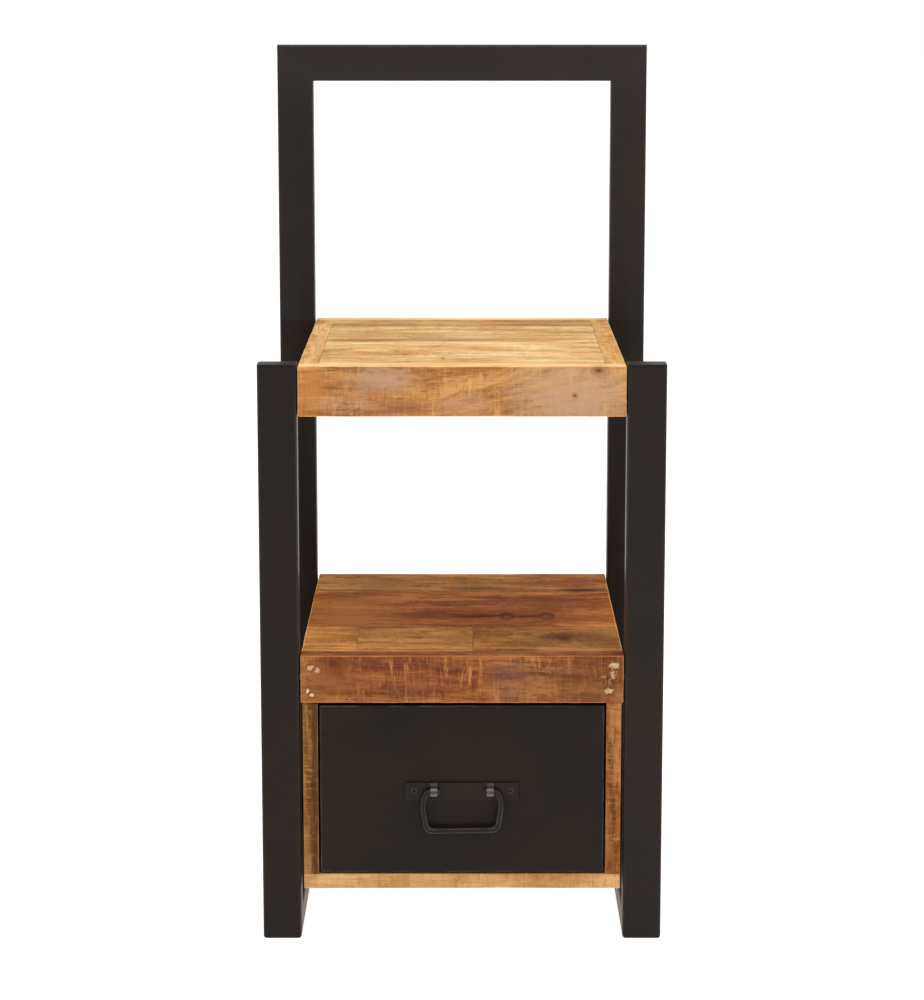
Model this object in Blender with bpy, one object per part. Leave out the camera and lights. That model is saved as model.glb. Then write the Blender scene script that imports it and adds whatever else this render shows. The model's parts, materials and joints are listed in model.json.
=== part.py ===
"""Side table with a drawer: two bent steel side frames, an upper steel frame and a boarded cabinet.

Metres, +Z up, front towards -Y, origin at the bottom centre of the whole object's box.
"""
import math

import bmesh
import bpy
from mathutils import Matrix, Vector

# ---------------------------------------------------------------- driving dimensions
WIDTH = 0.400                 # over the two side frames
DEPTH = 0.400                 # front legs' front face to rear legs' back face
HEIGHT = 0.880                # floor to the top of the upper frame
HANDLE_PROJECTION = 0.0104    # handle in front of the front legs' face
GAP = 0.0003                  # air between touching pieces

TUBE_WIDE = 0.0385            # steel tube, face seen from the front
TUBE_NARROW = 0.025           # steel tube, other face
TUBE_RADIUS = 0.0028          # tube corner radius
TUBE_WALL = 0.0015
CORNER_STEPS = 4              # facets on each rounded tube corner
MITRE_GAP = 0.00022           # set back of each mitred end
LEG_TOP = 0.5825              # front legs, with their caps
SEAM_Z = 0.581                # rear leg meets upper post
CAP_THICKNESS = 0.002
CAP_EASE = 0.0006
SPIGOT_BELOW = 0.028          # spigot's reach either side of the seam
SPIGOT_ABOVE = 0.060

BOARD = 0.020                 # thickness of the shelf boards
BOARD_EASE = 0.0008           # eased edges: most boards
WORN_EASE = 0.0010            # front and rear boards, runners
PLANK_EASE = 0.0005           # planks lying side by side, handle plate
SHEET_EASE = 0.0003           # plywood
SHELF_WIDTH = 0.321
UPPER_TOP = 0.581
UPPER_HEIGHT = 0.050
UPPER_JOINTS = (0.188, 0.322)         # plank joints, from the front plane
LOWER_TOP = 0.292
LOWER_HEIGHT = 0.0485
LOWER_JOINTS = (0.129, 0.300)
BUTT_JOINTS = (-0.106, 0.011)         # cross joints in the cabinet top's front row

CABINET_WIDTH = 0.317
SIDE_THICKNESS = 0.015
CABINET_BASE = 0.052
BOTTOM_THICKNESS = 0.015
BACK_THICKNESS = 0.010
RUNNER_WIDTH = 0.014
RUNNER_HEIGHT = 0.010
RUNNER_SETBACK = 0.003        # behind the closed drawer's face board

FACE_WIDTH = 0.2836           # drawer face
FACE_LOW = 0.0685
FACE_HIGH = 0.2406
FACE_SETBACK = 0.001          # behind the front legs' face
SKIN = 0.001                  # steel sheet round the drawer face
SKIN_RADIUS = 0.0022
CORE_THICKNESS = 0.017
DRAWER_SIDE = 0.012
DRAWER_PLAY = 0.002           # between the drawer and each side of the bay
DRAWER_TOP = 0.228
DRAWER_DEPTH = 0.352          # from the face's core to the outside of the back
DRAWER_BOTTOM = 0.005
GROOVE_DEPTH = 0.005
GROOVE_RISE = 0.008           # groove above the sides' lower edge

PLATE_WIDTH = 0.113
PLATE_HEIGHT = 0.0188
PLATE_THICKNESS = 0.002
PLATE_TOP = 0.1624
PIVOT_Z = 0.1540
PIVOT_OUT = 0.0070            # bail axis in front of the drawer face
LUG_X = 0.0282
LUG_WIDTH = 0.0070
LUG_STRIP = 0.0016
LUG_BORE = 0.0029
LUG_TAIL = 0.0080
LUG_ROLL = 300                # degrees rolled round the bail's end
LUG_STEPS = 20
SCREW_X = 0.0480
BAIL_RADIUS = 0.0030
BAIL_END_RADIUS = 0.0024
BAIL_END_X = 0.0225
BAIL_HALF = 0.0383
BAIL_DROP = 0.0400
BAIL_CORNER = 0.0080
BAIL_SHOULDER_PLAY = 0.0005   # beside each lug
BAIL_SHOULDER_IN = 0.0006     # shoulder bend, inside the widest point
BAIL_SHOULDER_DROP = 0.0002
BAIL_SIDE_BOW = 0.0012        # arm bulges outwards
BAIL_BOW_DROP = 0.0130
BAIL_ARM_PART = 0.48          # arm's straight end, as a part of the drop
BAIL_LEAN = 0.0018            # arms lean in by this much at their lower corners
BAIL_BAR_PART = 0.4           # straight lower bar, as a part of the half width
BAIL_BOW_STEPS = 10
BAIL_CORNER_STEPS = 6

BOLT_RADIUS = 0.0030
BOLT_HEAD_RADIUS = 0.0048
BOLT_HEAD = 0.0050
BOLT_SOCKET_RADIUS = 0.0025
BOLT_SOCKET = 0.0025
BOLT_REACH = 0.030            # into the wood
HOLE_SPARE = 0.001            # hole beyond the bolt's point
CUT_PAST = 0.004              # drills run this far through each face
ACCESS_RADIUS = 0.0055        # key hole in the leg's outer wall
UPPER_BOLT_Z = 0.545
SEAM_SCREW_OFFSET = 0.015     # seam screws above and below the seam
SEAM_SCREW_RADIUS = 0.0020
SEAM_HEAD_RADIUS = 0.0040
SEAM_HEAD = 0.0016
SEAM_SCREW_LENGTH = 0.008
SEAM_RECESS_RADIUS = 0.0012
SEAM_RECESS = 0.0008
SEAM_HEAD_SUNK = 0.0001       # head below the steel's face
HANDLE_SCREW_SHANK = 0.0130
HANDLE_SCREW_POINT = 0.0140
HANDLE_SCREW_DOME = ((-0.0006, 0.0), (-0.0006, 0.0008), (-0.0015, 0.0009), (-0.0014, 0.0018),
                     (-0.0008, 0.0028), (-GAP, 0.0033))       # along, radius

# ---------------------------------------------------------------- derived places
FRONT = HANDLE_PROJECTION - (DEPTH + HANDLE_PROJECTION) / 2
REAR = FRONT + DEPTH
HALF_WIDTH = WIDTH / 2
LEG_IN = HALF_WIDTH - TUBE_WIDE
SHELF_HALF = SHELF_WIDTH / 2
CABINET_HALF = CABINET_WIDTH / 2
BAY_HALF = CABINET_HALF - SIDE_THICKNESS
UPPER_LOW = UPPER_TOP - UPPER_HEIGHT
LOWER_LOW = LOWER_TOP - LOWER_HEIGHT
RAIL_TOP = LOWER_TOP - BOARD - GAP
BOTTOM_TOP = CABINET_BASE + BOTTOM_THICKNESS
FACE_Y = FRONT + FACE_SETBACK
CORE_BACK = FACE_Y + SKIN + GAP + CORE_THICKNESS
PLATE_FRONT = FACE_Y - GAP - PLATE_THICKNESS
PIVOT_Y = FACE_Y - PIVOT_OUT
SIDES = (("left", -1), ("right", 1))
BOLT_START = SHELF_HALF - BOLT_REACH - LEG_IN      # bolt's point, measured from the inner wall
LOWER_BOLT_Z = {"front": (LOWER_TOP + LOWER_LOW) / 2, "rear": (RAIL_TOP + LOWER_LOW) / 2}


# ---------------------------------------------------------------- scene helpers
def clear_scene():
    for item in list(bpy.data.objects):
        bpy.data.objects.remove(item, do_unlink=True)


def principled(name, colour, roughness, metallic=0.0):
    material = bpy.data.materials.new(name)
    material.use_nodes = True
    shader = material.node_tree.nodes["Principled BSDF"]
    shader.inputs["Base Color"].default_value = (*colour, 1.0)
    shader.inputs["Roughness"].default_value = roughness
    shader.inputs["Metallic"].default_value = metallic
    return material


def empty(name, location, parent=None):
    item = bpy.data.objects.new(name, None)
    bpy.context.collection.objects.link(item)
    item.parent = parent
    item.matrix_world = Matrix.Translation(location)
    return item


def add_piece(name, mesh, origin, material, parent):
    """Link a world-space mesh as an object whose origin is moved to the given point."""
    origin = Vector(origin)
    mesh.transform(Matrix.Translation(-origin))
    mesh.materials.append(material)
    item = bpy.data.objects.new(name, mesh)
    bpy.context.collection.objects.link(item)
    item.parent = parent
    item.location = origin - parent_origin(parent)
    return item


def parent_origin(parent):
    point = Vector((0.0, 0.0, 0.0))
    while parent is not None:
        point += parent.location
        parent = parent.parent
    return point


def finish_mesh(bm, name, smooth_angle=None):
    bmesh.ops.recalc_face_normals(bm, faces=bm.faces)
    mesh = bpy.data.meshes.new(name)
    bm.to_mesh(mesh)
    bm.free()
    if smooth_angle is not None:
        mesh.shade_smooth()
        mesh.set_sharp_from_angle(angle=math.radians(smooth_angle))
    return mesh


# ---------------------------------------------------------------- shape builders
def board(name, low, high, material, parent, ease=BOARD_EASE):
    """A sawn board between two corners, with eased edges."""
    low, high = Vector(low), Vector(high)
    size = high - low
    centre = (low + high) / 2
    bm = bmesh.new()
    bmesh.ops.create_cube(bm, size=1.0)
    bmesh.ops.scale(bm, vec=size, verts=bm.verts)
    bmesh.ops.translate(bm, vec=centre, verts=bm.verts)
    bmesh.ops.bevel(bm, geom=bm.edges[:], offset=ease, segments=1, affect="EDGES", profile=0.5)
    return add_piece(name, finish_mesh(bm, name), centre, material, parent)


def extrude_outline(outline, axis, start, end):
    """A closed prism: outline points in the two other axes, in X, Y, Z order."""
    bm = bmesh.new()
    lower = [bm.verts.new(on_axis(point, axis, start)) for point in outline]
    upper = [bm.verts.new(on_axis(point, axis, end)) for point in outline]
    bm.faces.new(lower)
    bm.faces.new(upper)
    for i in range(len(outline)):
        j = (i + 1) % len(outline)
        bm.faces.new((lower[i], lower[j], upper[j], upper[i]))
    return bm


def on_axis(point, axis, along):
    """Insert the coordinate along an axis (0, 1 or 2) into a point of the other two."""
    values = list(point)
    values.insert(axis, along)
    return Vector(values)


def rounded_rectangle(size_a, size_b, radius, steps):
    """Points of a centred rectangle with round corners, counter-clockwise."""
    points = []
    for quarter in range(4):
        sign_a = 1 if quarter in (0, 3) else -1
        sign_b = 1 if quarter in (0, 1) else -1
        centre_a = sign_a * (size_a / 2 - radius)
        centre_b = sign_b * (size_b / 2 - radius)
        for step in range(steps + 1):
            angle = math.radians(90) * (quarter + step / steps)
            points.append((centre_a + radius * math.cos(angle), centre_b + radius * math.sin(angle)))
    return points


def tube(name, axis, centre, size, start, end, material, parent, radius=TUBE_RADIUS):
    """An open hollow tube along an axis. start and end give the end planes at a profile point."""
    rings = []
    for inset in (0.0, TUBE_WALL):
        profile = rounded_rectangle(size[0] - 2 * inset, size[1] - 2 * inset, radius - inset, CORNER_STEPS)
        rings.append([(a + centre[0], b + centre[1]) for a, b in profile])
    bm = bmesh.new()
    outer, inner = rings
    loops = [[bm.verts.new(on_axis(p, axis, place(*p))) for p in ring]
             for ring, place in ((outer, start), (outer, end), (inner, end), (inner, start))]
    count = len(outer)
    for k in range(4):
        near, far = loops[k], loops[(k + 1) % 4]
        for i in range(count):
            j = (i + 1) % count
            bm.faces.new((near[i], near[j], far[j], far[i]))
    origin = on_axis(centre, axis, (start(*centre) + end(*centre)) / 2)
    return add_piece(name, finish_mesh(bm, name, 35), origin, material, parent)


def turned_mesh(name, profile, axis, segments=16, smooth_angle=35):
    """A solid of revolution. profile lists (along, radius); its two ends have radius 0."""
    bm = bmesh.new()
    rings = []
    for along, radius in profile:
        if radius == 0.0:
            rings.append([bm.verts.new(on_axis((0.0, 0.0), axis, along))])
            continue
        ring = []
        for step in range(segments):
            angle = math.tau * step / segments
            spot = (radius * math.cos(angle), radius * math.sin(angle))
            ring.append(bm.verts.new(on_axis(spot, axis, along)))
        rings.append(ring)
    for near, far in zip(rings, rings[1:]):
        for i in range(segments):
            j = (i + 1) % segments
            corners = [near[i % len(near)], near[j % len(near)], far[j % len(far)], far[i % len(far)]]
            bm.faces.new(list(dict.fromkeys(corners)))
    return finish_mesh(bm, name, smooth_angle)


def turned(name, profile, axis, origin, material, parent, segments=16):
    mesh = turned_mesh(name, profile, axis, segments)
    mesh.transform(Matrix.Translation(origin))
    return add_piece(name, mesh, origin, material, parent)


def cut(item, label, profile, axis, origin, segments=16):
    """Cut a turned hole out of a piece."""
    cutter = turned(f"cutter_{item.name}_{label}", profile, axis, origin, MATERIALS["steel"], None, segments)
    cutter.hide_render = True
    cutter.display_type = "WIRE"
    modifier = item.modifiers.new(f"hole_{label}", "BOOLEAN")
    modifier.operation = "DIFFERENCE"
    modifier.solver = "EXACT"
    modifier.object = cutter


def rod(start, end, radius):
    """Profile of a plain cylinder."""
    return [(start, 0.0), (start, radius), (end, radius), (end, 0.0)]


# ---------------------------------------------------------------- steel frame
def build_side_frame(side, sign, parent):
    """Two legs and the foot rail of one side, mitred at the floor, with a cap on the front leg."""
    steel = MATERIALS["steel"]
    x = sign * (HALF_WIDTH - TUBE_WIDE / 2)
    section = (TUBE_WIDE, TUBE_NARROW)
    front_y = FRONT + TUBE_NARROW / 2
    rear_y = REAR - TUBE_NARROW / 2
    front_leg = tube(f"front_leg_{side}", 2, (x, front_y), section,
                     lambda a, b: b - FRONT + MITRE_GAP, lambda a, b: LEG_TOP - CAP_THICKNESS - GAP,
                     steel, parent)
    rear_leg = tube(f"rear_leg_{side}", 2, (x, rear_y), section,
                    lambda a, b: REAR - b + MITRE_GAP, lambda a, b: SEAM_Z - GAP, steel, parent)
    tube(f"foot_rail_{side}", 1, (x, TUBE_NARROW / 2), section,
         lambda a, b: FRONT + b + MITRE_GAP, lambda a, b: REAR - b - MITRE_GAP, steel, parent)
    outline = [(x + a, front_y + b)
               for a, b in rounded_rectangle(TUBE_WIDE, TUBE_NARROW, TUBE_RADIUS, CORNER_STEPS)]
    cap = extrude_outline(outline, 2, LEG_TOP - CAP_THICKNESS, LEG_TOP)
    bmesh.ops.bevel(cap, geom=[e for e in cap.edges if all(v.co.z > LEG_TOP - GAP for v in e.verts)],
                    offset=CAP_EASE, segments=1, affect="EDGES")
    add_piece(f"front_leg_cap_{side}", finish_mesh(cap, "leg_cap", 35), (x, front_y, LEG_TOP),
              steel, parent)
    for end, leg, y in (("front", front_leg, front_y), ("rear", rear_leg, rear_y)):
        for level, z in (("upper", UPPER_BOLT_Z), ("lower", LOWER_BOLT_Z[end])):
            inner = rod(-CUT_PAST, CUT_PAST, BOLT_RADIUS + GAP)
            outer = rod(-CUT_PAST, CUT_PAST, ACCESS_RADIUS)
            cut(leg, f"{level}_bolt", inner, 0, (sign * LEG_IN, y, z))
            cut(leg, f"{level}_access", outer, 0, (sign * HALF_WIDTH, y, z))
            add_bolt(f"{level}_bolt_{end}_{side}", sign, y, z, parent)
    return rear_leg


def add_bolt(name, sign, y, z, parent):
    """A socket-head bolt: its head inside the tube bears on the inner wall."""
    seat = TUBE_WALL + GAP
    profile = [(seat + BOLT_HEAD - BOLT_SOCKET, 0.0), (seat + BOLT_HEAD - BOLT_SOCKET, BOLT_SOCKET_RADIUS),
               (seat + BOLT_HEAD, BOLT_SOCKET_RADIUS), (seat + BOLT_HEAD, BOLT_HEAD_RADIUS),
               (seat, BOLT_HEAD_RADIUS), (seat, BOLT_RADIUS),
               (BOLT_START, BOLT_RADIUS), (BOLT_START, 0.0)]
    profile = [(sign * along, radius) for along, radius in profile]
    turned(name, profile, 0, (sign * LEG_IN, y, z), MATERIALS["zinc"], parent)


def build_upper_frame(rear_legs, parent):
    """Posts and top rail, mitred at the top, on spigots that plug into the rear legs."""
    steel = MATERIALS["steel"]
    y = REAR - TUBE_NARROW / 2
    section = (TUBE_WIDE, TUBE_NARROW)
    top_low = HEIGHT - TUBE_WIDE / 2
    for side, sign in SIDES:
        x = sign * (HALF_WIDTH - TUBE_WIDE / 2)
        post = tube(f"upper_post_{side}", 2, (x, y), section, lambda a, b: SEAM_Z,
                    lambda a, b: HEIGHT - (HALF_WIDTH - abs(a)) - MITRE_GAP, steel, parent)
        slack = TUBE_WALL + GAP
        spigot = tube(f"post_spigot_{side}", 2, (x, y), (TUBE_WIDE - 2 * slack, TUBE_NARROW - 2 * slack),
                      lambda a, b: SEAM_Z - SPIGOT_BELOW, lambda a, b: SEAM_Z + SPIGOT_ABOVE,
                      MATERIALS["zinc"], parent, radius=TUBE_RADIUS - GAP)
        for level, host, z in (("lower", rear_legs[side], SEAM_Z - SEAM_SCREW_OFFSET),
                               ("upper", post, SEAM_Z + SEAM_SCREW_OFFSET)):
            place = (x, REAR, z)
            wide = SEAM_HEAD_RADIUS + 2 * GAP
            slim = SEAM_SCREW_RADIUS + 2 * GAP
            cone = [(CUT_PAST, 0.0), (CUT_PAST, wide), (0.0, wide), (-SEAM_HEAD, slim),
                    (-CUT_PAST, slim), (-CUT_PAST, 0.0)]
            cut(host, f"{level}_seam_screw", cone, 1, place)
            through = rod(-TUBE_WALL - CUT_PAST, 0.0, SEAM_SCREW_RADIUS + GAP)
            cut(spigot, f"{level}_seam_screw", through, 1, place)
            screw = [(-SEAM_RECESS, 0.0), (-SEAM_HEAD_SUNK, SEAM_RECESS_RADIUS),
                     (-SEAM_HEAD_SUNK, SEAM_HEAD_RADIUS), (-SEAM_HEAD, SEAM_SCREW_RADIUS),
                     (-SEAM_SCREW_LENGTH, SEAM_SCREW_RADIUS), (-SEAM_SCREW_LENGTH, 0.0)]
            turned(f"seam_screw_{level}_{side}", screw, 1, place, MATERIALS["black_screw"], parent)
    tube("top_rail", 0, (y, top_low), (TUBE_NARROW, TUBE_WIDE),
         lambda a, b: -HALF_WIDTH + (HEIGHT - b) + MITRE_GAP,
         lambda a, b: HALF_WIDTH - (HEIGHT - b) - MITRE_GAP, steel, parent)


# ---------------------------------------------------------------- wood
def drill_board_end(item, end, sign, y, z):
    """Blind bolt hole in the end of a board."""
    hole = rod(-BOLT_REACH - HOLE_SPARE, CUT_PAST, BOLT_RADIUS + GAP)
    hole = [(sign * along, radius) for along, radius in hole]
    cut(item, end, hole, 0, (sign * SHELF_HALF, y, z))


def build_upper_shelf(parent):
    """Four frame boards on edge and three planks let in flush with their top edges."""
    wood = MATERIALS["pale_wood"]
    front_back = FRONT + BOARD
    rear_front = REAR - BOARD
    low, high = UPPER_LOW, UPPER_TOP
    front = board("upper_shelf_front_board", (-SHELF_HALF, FRONT, low), (SHELF_HALF, front_back, high),
                  MATERIALS["amber_wood"], parent, ease=WORN_EASE)
    rear = board("upper_shelf_rear_board", (-SHELF_HALF, rear_front, low), (SHELF_HALF, REAR, high),
                 MATERIALS["amber_wood"], parent, ease=WORN_EASE)
    for item, y in ((front, FRONT + TUBE_NARROW / 2), (rear, REAR - TUBE_NARROW / 2)):
        for side, sign in SIDES:
            drill_board_end(item, side, sign, y, UPPER_BOLT_Z)
    inner = SHELF_HALF - BOARD
    for side, sign in SIDES:
        xs = sorted((sign * SHELF_HALF, sign * (inner + GAP)))
        board(f"upper_shelf_{side}_board", (xs[0], front_back + GAP, low), (xs[1], rear_front - GAP, high),
              wood, parent)
    joints = [BOARD, *UPPER_JOINTS, DEPTH - BOARD]
    for name, start, end in zip(("front", "middle", "rear"), joints, joints[1:]):
        board(f"upper_shelf_plank_{name}", (-inner, FRONT + start + GAP, high - BOARD),
              (inner, FRONT + end, high), wood, parent, ease=PLANK_EASE)


def build_cabinet_top(parent):
    """Full-width planks on three rails, behind a front board on edge."""
    wood = MATERIALS["brown_wood"]
    front_back = FRONT + BOARD
    front = board("cabinet_top_front_board", (-SHELF_HALF, FRONT, LOWER_LOW),
                  (SHELF_HALF, front_back, LOWER_TOP), MATERIALS["red_wood"], parent, ease=WORN_EASE)
    rear = board("cabinet_top_rear_rail", (-SHELF_HALF, REAR - BOARD, LOWER_LOW),
                 (SHELF_HALF, REAR, RAIL_TOP), wood, parent)
    for side, sign in SIDES:
        drill_board_end(front, side, sign, FRONT + TUBE_NARROW / 2, LOWER_BOLT_Z["front"])
        drill_board_end(rear, side, sign, REAR - TUBE_NARROW / 2, LOWER_BOLT_Z["rear"])
        xs = sorted((sign * SHELF_HALF, sign * (SHELF_HALF - BOARD)))
        board(f"cabinet_top_{side}_rail", (xs[0], front_back + GAP, LOWER_LOW),
              (xs[1], REAR - BOARD - GAP, RAIL_TOP), wood, parent)
    joints = [BOARD, *LOWER_JOINTS, DEPTH]
    rows = [(FRONT + start + GAP, FRONT + end) for start, end in zip(joints, joints[1:])]
    crossings = [-SHELF_HALF - GAP, *BUTT_JOINTS, SHELF_HALF]
    for name, start, end in zip(("left", "middle", "right"), crossings, crossings[1:]):
        board(f"cabinet_top_front_plank_{name}", (start + GAP, rows[0][0], LOWER_TOP - BOARD),
              (end, rows[0][1], LOWER_TOP), wood, parent, ease=PLANK_EASE)
    for name, row in (("middle", rows[1]), ("rear", rows[2])):
        board(f"cabinet_top_{name}_plank", (-SHELF_HALF, row[0], LOWER_TOP - BOARD),
              (SHELF_HALF, row[1], LOWER_TOP), wood, parent, ease=PLANK_EASE)


def build_cabinet(parent):
    """Sides standing on the bottom board, the back between them, and a runner at each side."""
    wood = MATERIALS["brown_wood"]
    board("cabinet_bottom", (-CABINET_HALF, FRONT, CABINET_BASE), (CABINET_HALF, REAR, BOTTOM_TOP),
          MATERIALS["pale_wood"], parent)
    board("cabinet_back", (-BAY_HALF + GAP, REAR - BACK_THICKNESS, BOTTOM_TOP + GAP),
          (BAY_HALF - GAP, REAR, LOWER_LOW - GAP), MATERIALS["plain_wood"], parent)
    for side, sign in SIDES:
        xs = sorted((sign * CABINET_HALF, sign * BAY_HALF))
        board(f"cabinet_side_{side}", (xs[0], FRONT, BOTTOM_TOP + GAP), (xs[1], REAR, LOWER_LOW - GAP),
              wood, parent)
        xs = sorted((sign * (BAY_HALF - GAP), sign * (BAY_HALF - RUNNER_WIDTH)))
        board(f"drawer_runner_{side}", (xs[0], CORE_BACK + RUNNER_SETBACK, BOTTOM_TOP + GAP),
              (xs[1], REAR - BACK_THICKNESS - GAP, BOTTOM_TOP + RUNNER_HEIGHT),
              MATERIALS["plain_wood"], parent, ease=WORN_EASE)


# ---------------------------------------------------------------- drawer
def build_drawer(parent):
    """Wooden box behind a wooden face that is wrapped in folded steel sheet."""
    wood = MATERIALS["plain_wood"]
    low = BOTTOM_TOP + RUNNER_HEIGHT + 2 * GAP
    half = BAY_HALF - DRAWER_PLAY
    inside = half - DRAWER_SIDE
    groove_low = low + GROOVE_RISE
    groove_high = groove_low + DRAWER_BOTTOM + 2 * GAP
    box_front = CORE_BACK + GAP
    box_rear = FACE_Y + DRAWER_DEPTH
    for side, sign in SIDES:
        outline = [(half, low), (half, DRAWER_TOP), (inside, DRAWER_TOP), (inside, groove_high),
                   (inside + GROOVE_DEPTH, groove_high), (inside + GROOVE_DEPTH, groove_low),
                   (inside, groove_low), (inside, low)]
        profile = [(sign * a, b) for a, b in outline]
        bm = extrude_outline(profile, 1, box_front, box_rear)
        add_piece(f"drawer_side_{side}", finish_mesh(bm, "drawer_side"),
                  (sign * half, box_front, low), wood, parent)
    board("drawer_back", (-inside + GAP, box_rear - DRAWER_SIDE, groove_high),
          (inside - GAP, box_rear, DRAWER_TOP), wood, parent)
    slack = GROOVE_DEPTH - GAP
    board("drawer_bottom", (-inside - slack, CORE_BACK - slack, groove_low + GAP),
          (inside + slack, box_rear, groove_low + GAP + DRAWER_BOTTOM), MATERIALS["plywood"], parent,
          ease=SHEET_EASE)
    build_drawer_face(parent, groove_low, groove_high)


def build_drawer_face(parent, groove_low, groove_high):
    """The grooved core board and the steel skin folded round its four edges."""
    core_front = FACE_Y + SKIN + GAP
    core_half = FACE_WIDTH / 2 - SKIN - GAP
    core_low = FACE_LOW + SKIN + GAP
    core_high = FACE_HIGH - SKIN - GAP
    outline = [(core_front, core_low), (CORE_BACK, core_low), (CORE_BACK, groove_low),
               (CORE_BACK - GROOVE_DEPTH, groove_low), (CORE_BACK - GROOVE_DEPTH, groove_high),
               (CORE_BACK, groove_high), (CORE_BACK, core_high), (core_front, core_high)]
    bm = extrude_outline(outline, 0, -core_half, core_half)
    middle = (0.0, CORE_BACK, (FACE_LOW + FACE_HIGH) / 2)
    core = add_piece("drawer_front_core", finish_mesh(bm, "drawer_core"), middle,
                     MATERIALS["plain_wood"], parent)
    skin = build_skin(middle, parent)
    hole = rod(-CUT_PAST, HANDLE_SCREW_POINT - HOLE_SPARE, SEAM_SCREW_RADIUS + GAP)
    for item in (core, skin):
        for side, sign in SIDES:
            cut(item, f"handle_{side}", hole, 1, (sign * SCREW_X, FACE_Y, PIVOT_Z), segments=12)


def build_skin(origin, parent):
    """A shallow steel tray, open at the back, with rounded folds."""
    middle_z = (FACE_LOW + FACE_HIGH) / 2
    height = FACE_HIGH - FACE_LOW
    bm = bmesh.new()
    rings = []
    steps = 3
    for step in range(steps + 1):
        angle = math.radians(90) * step / steps
        inset = SKIN_RADIUS * (1 - math.sin(angle))
        rings.append((inset, FACE_Y + SKIN_RADIUS * (1 - math.cos(angle))))
    rings.append((0.0, CORE_BACK))
    rings.append((SKIN, CORE_BACK))
    rings.append((SKIN, FACE_Y + SKIN))
    loops = []
    for inset, y in rings:
        a = FACE_WIDTH / 2 - inset
        b = height / 2 - inset
        corners = ((-a, -b), (a, -b), (a, b), (-a, b))
        loops.append([bm.verts.new((p, y, middle_z + q)) for p, q in corners])
    for near, far in zip(loops, loops[1:]):
        for i in range(4):
            j = (i + 1) % 4
            bm.faces.new((near[i], near[j], far[j], far[i]))
    bm.faces.new(loops[0])
    bm.faces.new(loops[-1])
    return add_piece("drawer_front_skin", finish_mesh(bm, "drawer_skin", 35), origin,
                     MATERIALS["steel"], parent)


# ---------------------------------------------------------------- handle
def build_handle(parent, hinge):
    """Back plate, two rolled lugs, two screws and the hanging bail."""
    iron = MATERIALS["handle_iron"]
    plate = board("handle_plate", (-PLATE_WIDTH / 2, PLATE_FRONT, PLATE_TOP - PLATE_HEIGHT),
                  (PLATE_WIDTH / 2, FACE_Y - GAP, PLATE_TOP), iron, parent, ease=PLANK_EASE)
    hole = rod(-PLATE_THICKNESS - CUT_PAST, CUT_PAST, SEAM_SCREW_RADIUS + GAP)
    for side, sign in SIDES:
        cut(plate, f"screw_{side}", hole, 1, (sign * SCREW_X, FACE_Y, PIVOT_Z), segments=12)
        add_handle_screw(f"handle_screw_{side}", sign * SCREW_X, parent)
        add_lug(f"handle_lug_{side}", sign * LUG_X, parent)
    add_bail(hinge)


def add_handle_screw(name, x, parent):
    """A dome-headed screw with a small round recess."""
    profile = [*HANDLE_SCREW_DOME, (-GAP, SEAM_SCREW_RADIUS), (HANDLE_SCREW_SHANK, SEAM_SCREW_RADIUS),
               (HANDLE_SCREW_POINT, 0.0)]
    turned(name, profile, 1, (x, PLATE_FRONT, PIVOT_Z), MATERIALS["handle_iron"], parent)


def add_lug(name, x, parent):
    """A strip rolled round the bail's end, with a flat tail against the plate."""
    inner = LUG_BORE
    outer = LUG_BORE + LUG_STRIP
    sweep = [math.radians(-LUG_ROLL) * step / LUG_STEPS for step in range(LUG_STEPS + 1)]
    inside = [(inner * math.cos(a), inner * math.sin(a)) for a in sweep]
    outside = [(outer * math.cos(a), outer * math.sin(a)) for a in reversed(sweep)]
    outline = [(inner, LUG_TAIL), *inside, *outside, (outer, LUG_TAIL)]
    outline = [(PIVOT_Y + a, PIVOT_Z + b) for a, b in outline]
    bm = extrude_outline(outline, 0, x - LUG_WIDTH / 2, x + LUG_WIDTH / 2)
    add_piece(name, finish_mesh(bm, "handle_lug", 35), (x, PIVOT_Y, PIVOT_Z),
              MATERIALS["handle_iron"], parent)


def bail_path():
    """Centre line of the left half in X and Z from the pivot, and the wire's relative radius."""
    end_scale = BAIL_END_RADIUS / BAIL_RADIUS
    shoulder = LUG_X + LUG_WIDTH / 2 + BAIL_SHOULDER_PLAY
    points = [(-BAIL_END_X, 0.0, end_scale), (-shoulder, 0.0, end_scale)]
    bow = (Vector((-shoulder, 0.0)),
           Vector((-BAIL_HALF + BAIL_SHOULDER_IN, -BAIL_SHOULDER_DROP)),
           Vector((-BAIL_HALF - BAIL_SIDE_BOW, -BAIL_BOW_DROP)),
           Vector((-BAIL_HALF, -BAIL_DROP * BAIL_ARM_PART)))
    for step in range(1, BAIL_BOW_STEPS + 1):
        t = step / BAIL_BOW_STEPS
        weights = ((1 - t) ** 3, 3 * t * (1 - t) ** 2, 3 * t * t * (1 - t), t ** 3)
        spot = sum((w * p for w, p in zip(weights, bow)), Vector((0.0, 0.0)))
        points.append((spot.x, spot.y, min(1.0, end_scale + 2.5 * t * (1 - end_scale))))
    for step in range(BAIL_CORNER_STEPS + 1):
        angle = math.radians(180 + 90 * step / BAIL_CORNER_STEPS)
        points.append((-BAIL_HALF + BAIL_LEAN + BAIL_CORNER * (1 + math.cos(angle)),
                       -BAIL_DROP + BAIL_CORNER * (1 + math.sin(angle)), 1.0))
    points.append((-BAIL_HALF * BAIL_BAR_PART, -BAIL_DROP, 1.0))
    return points


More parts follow.
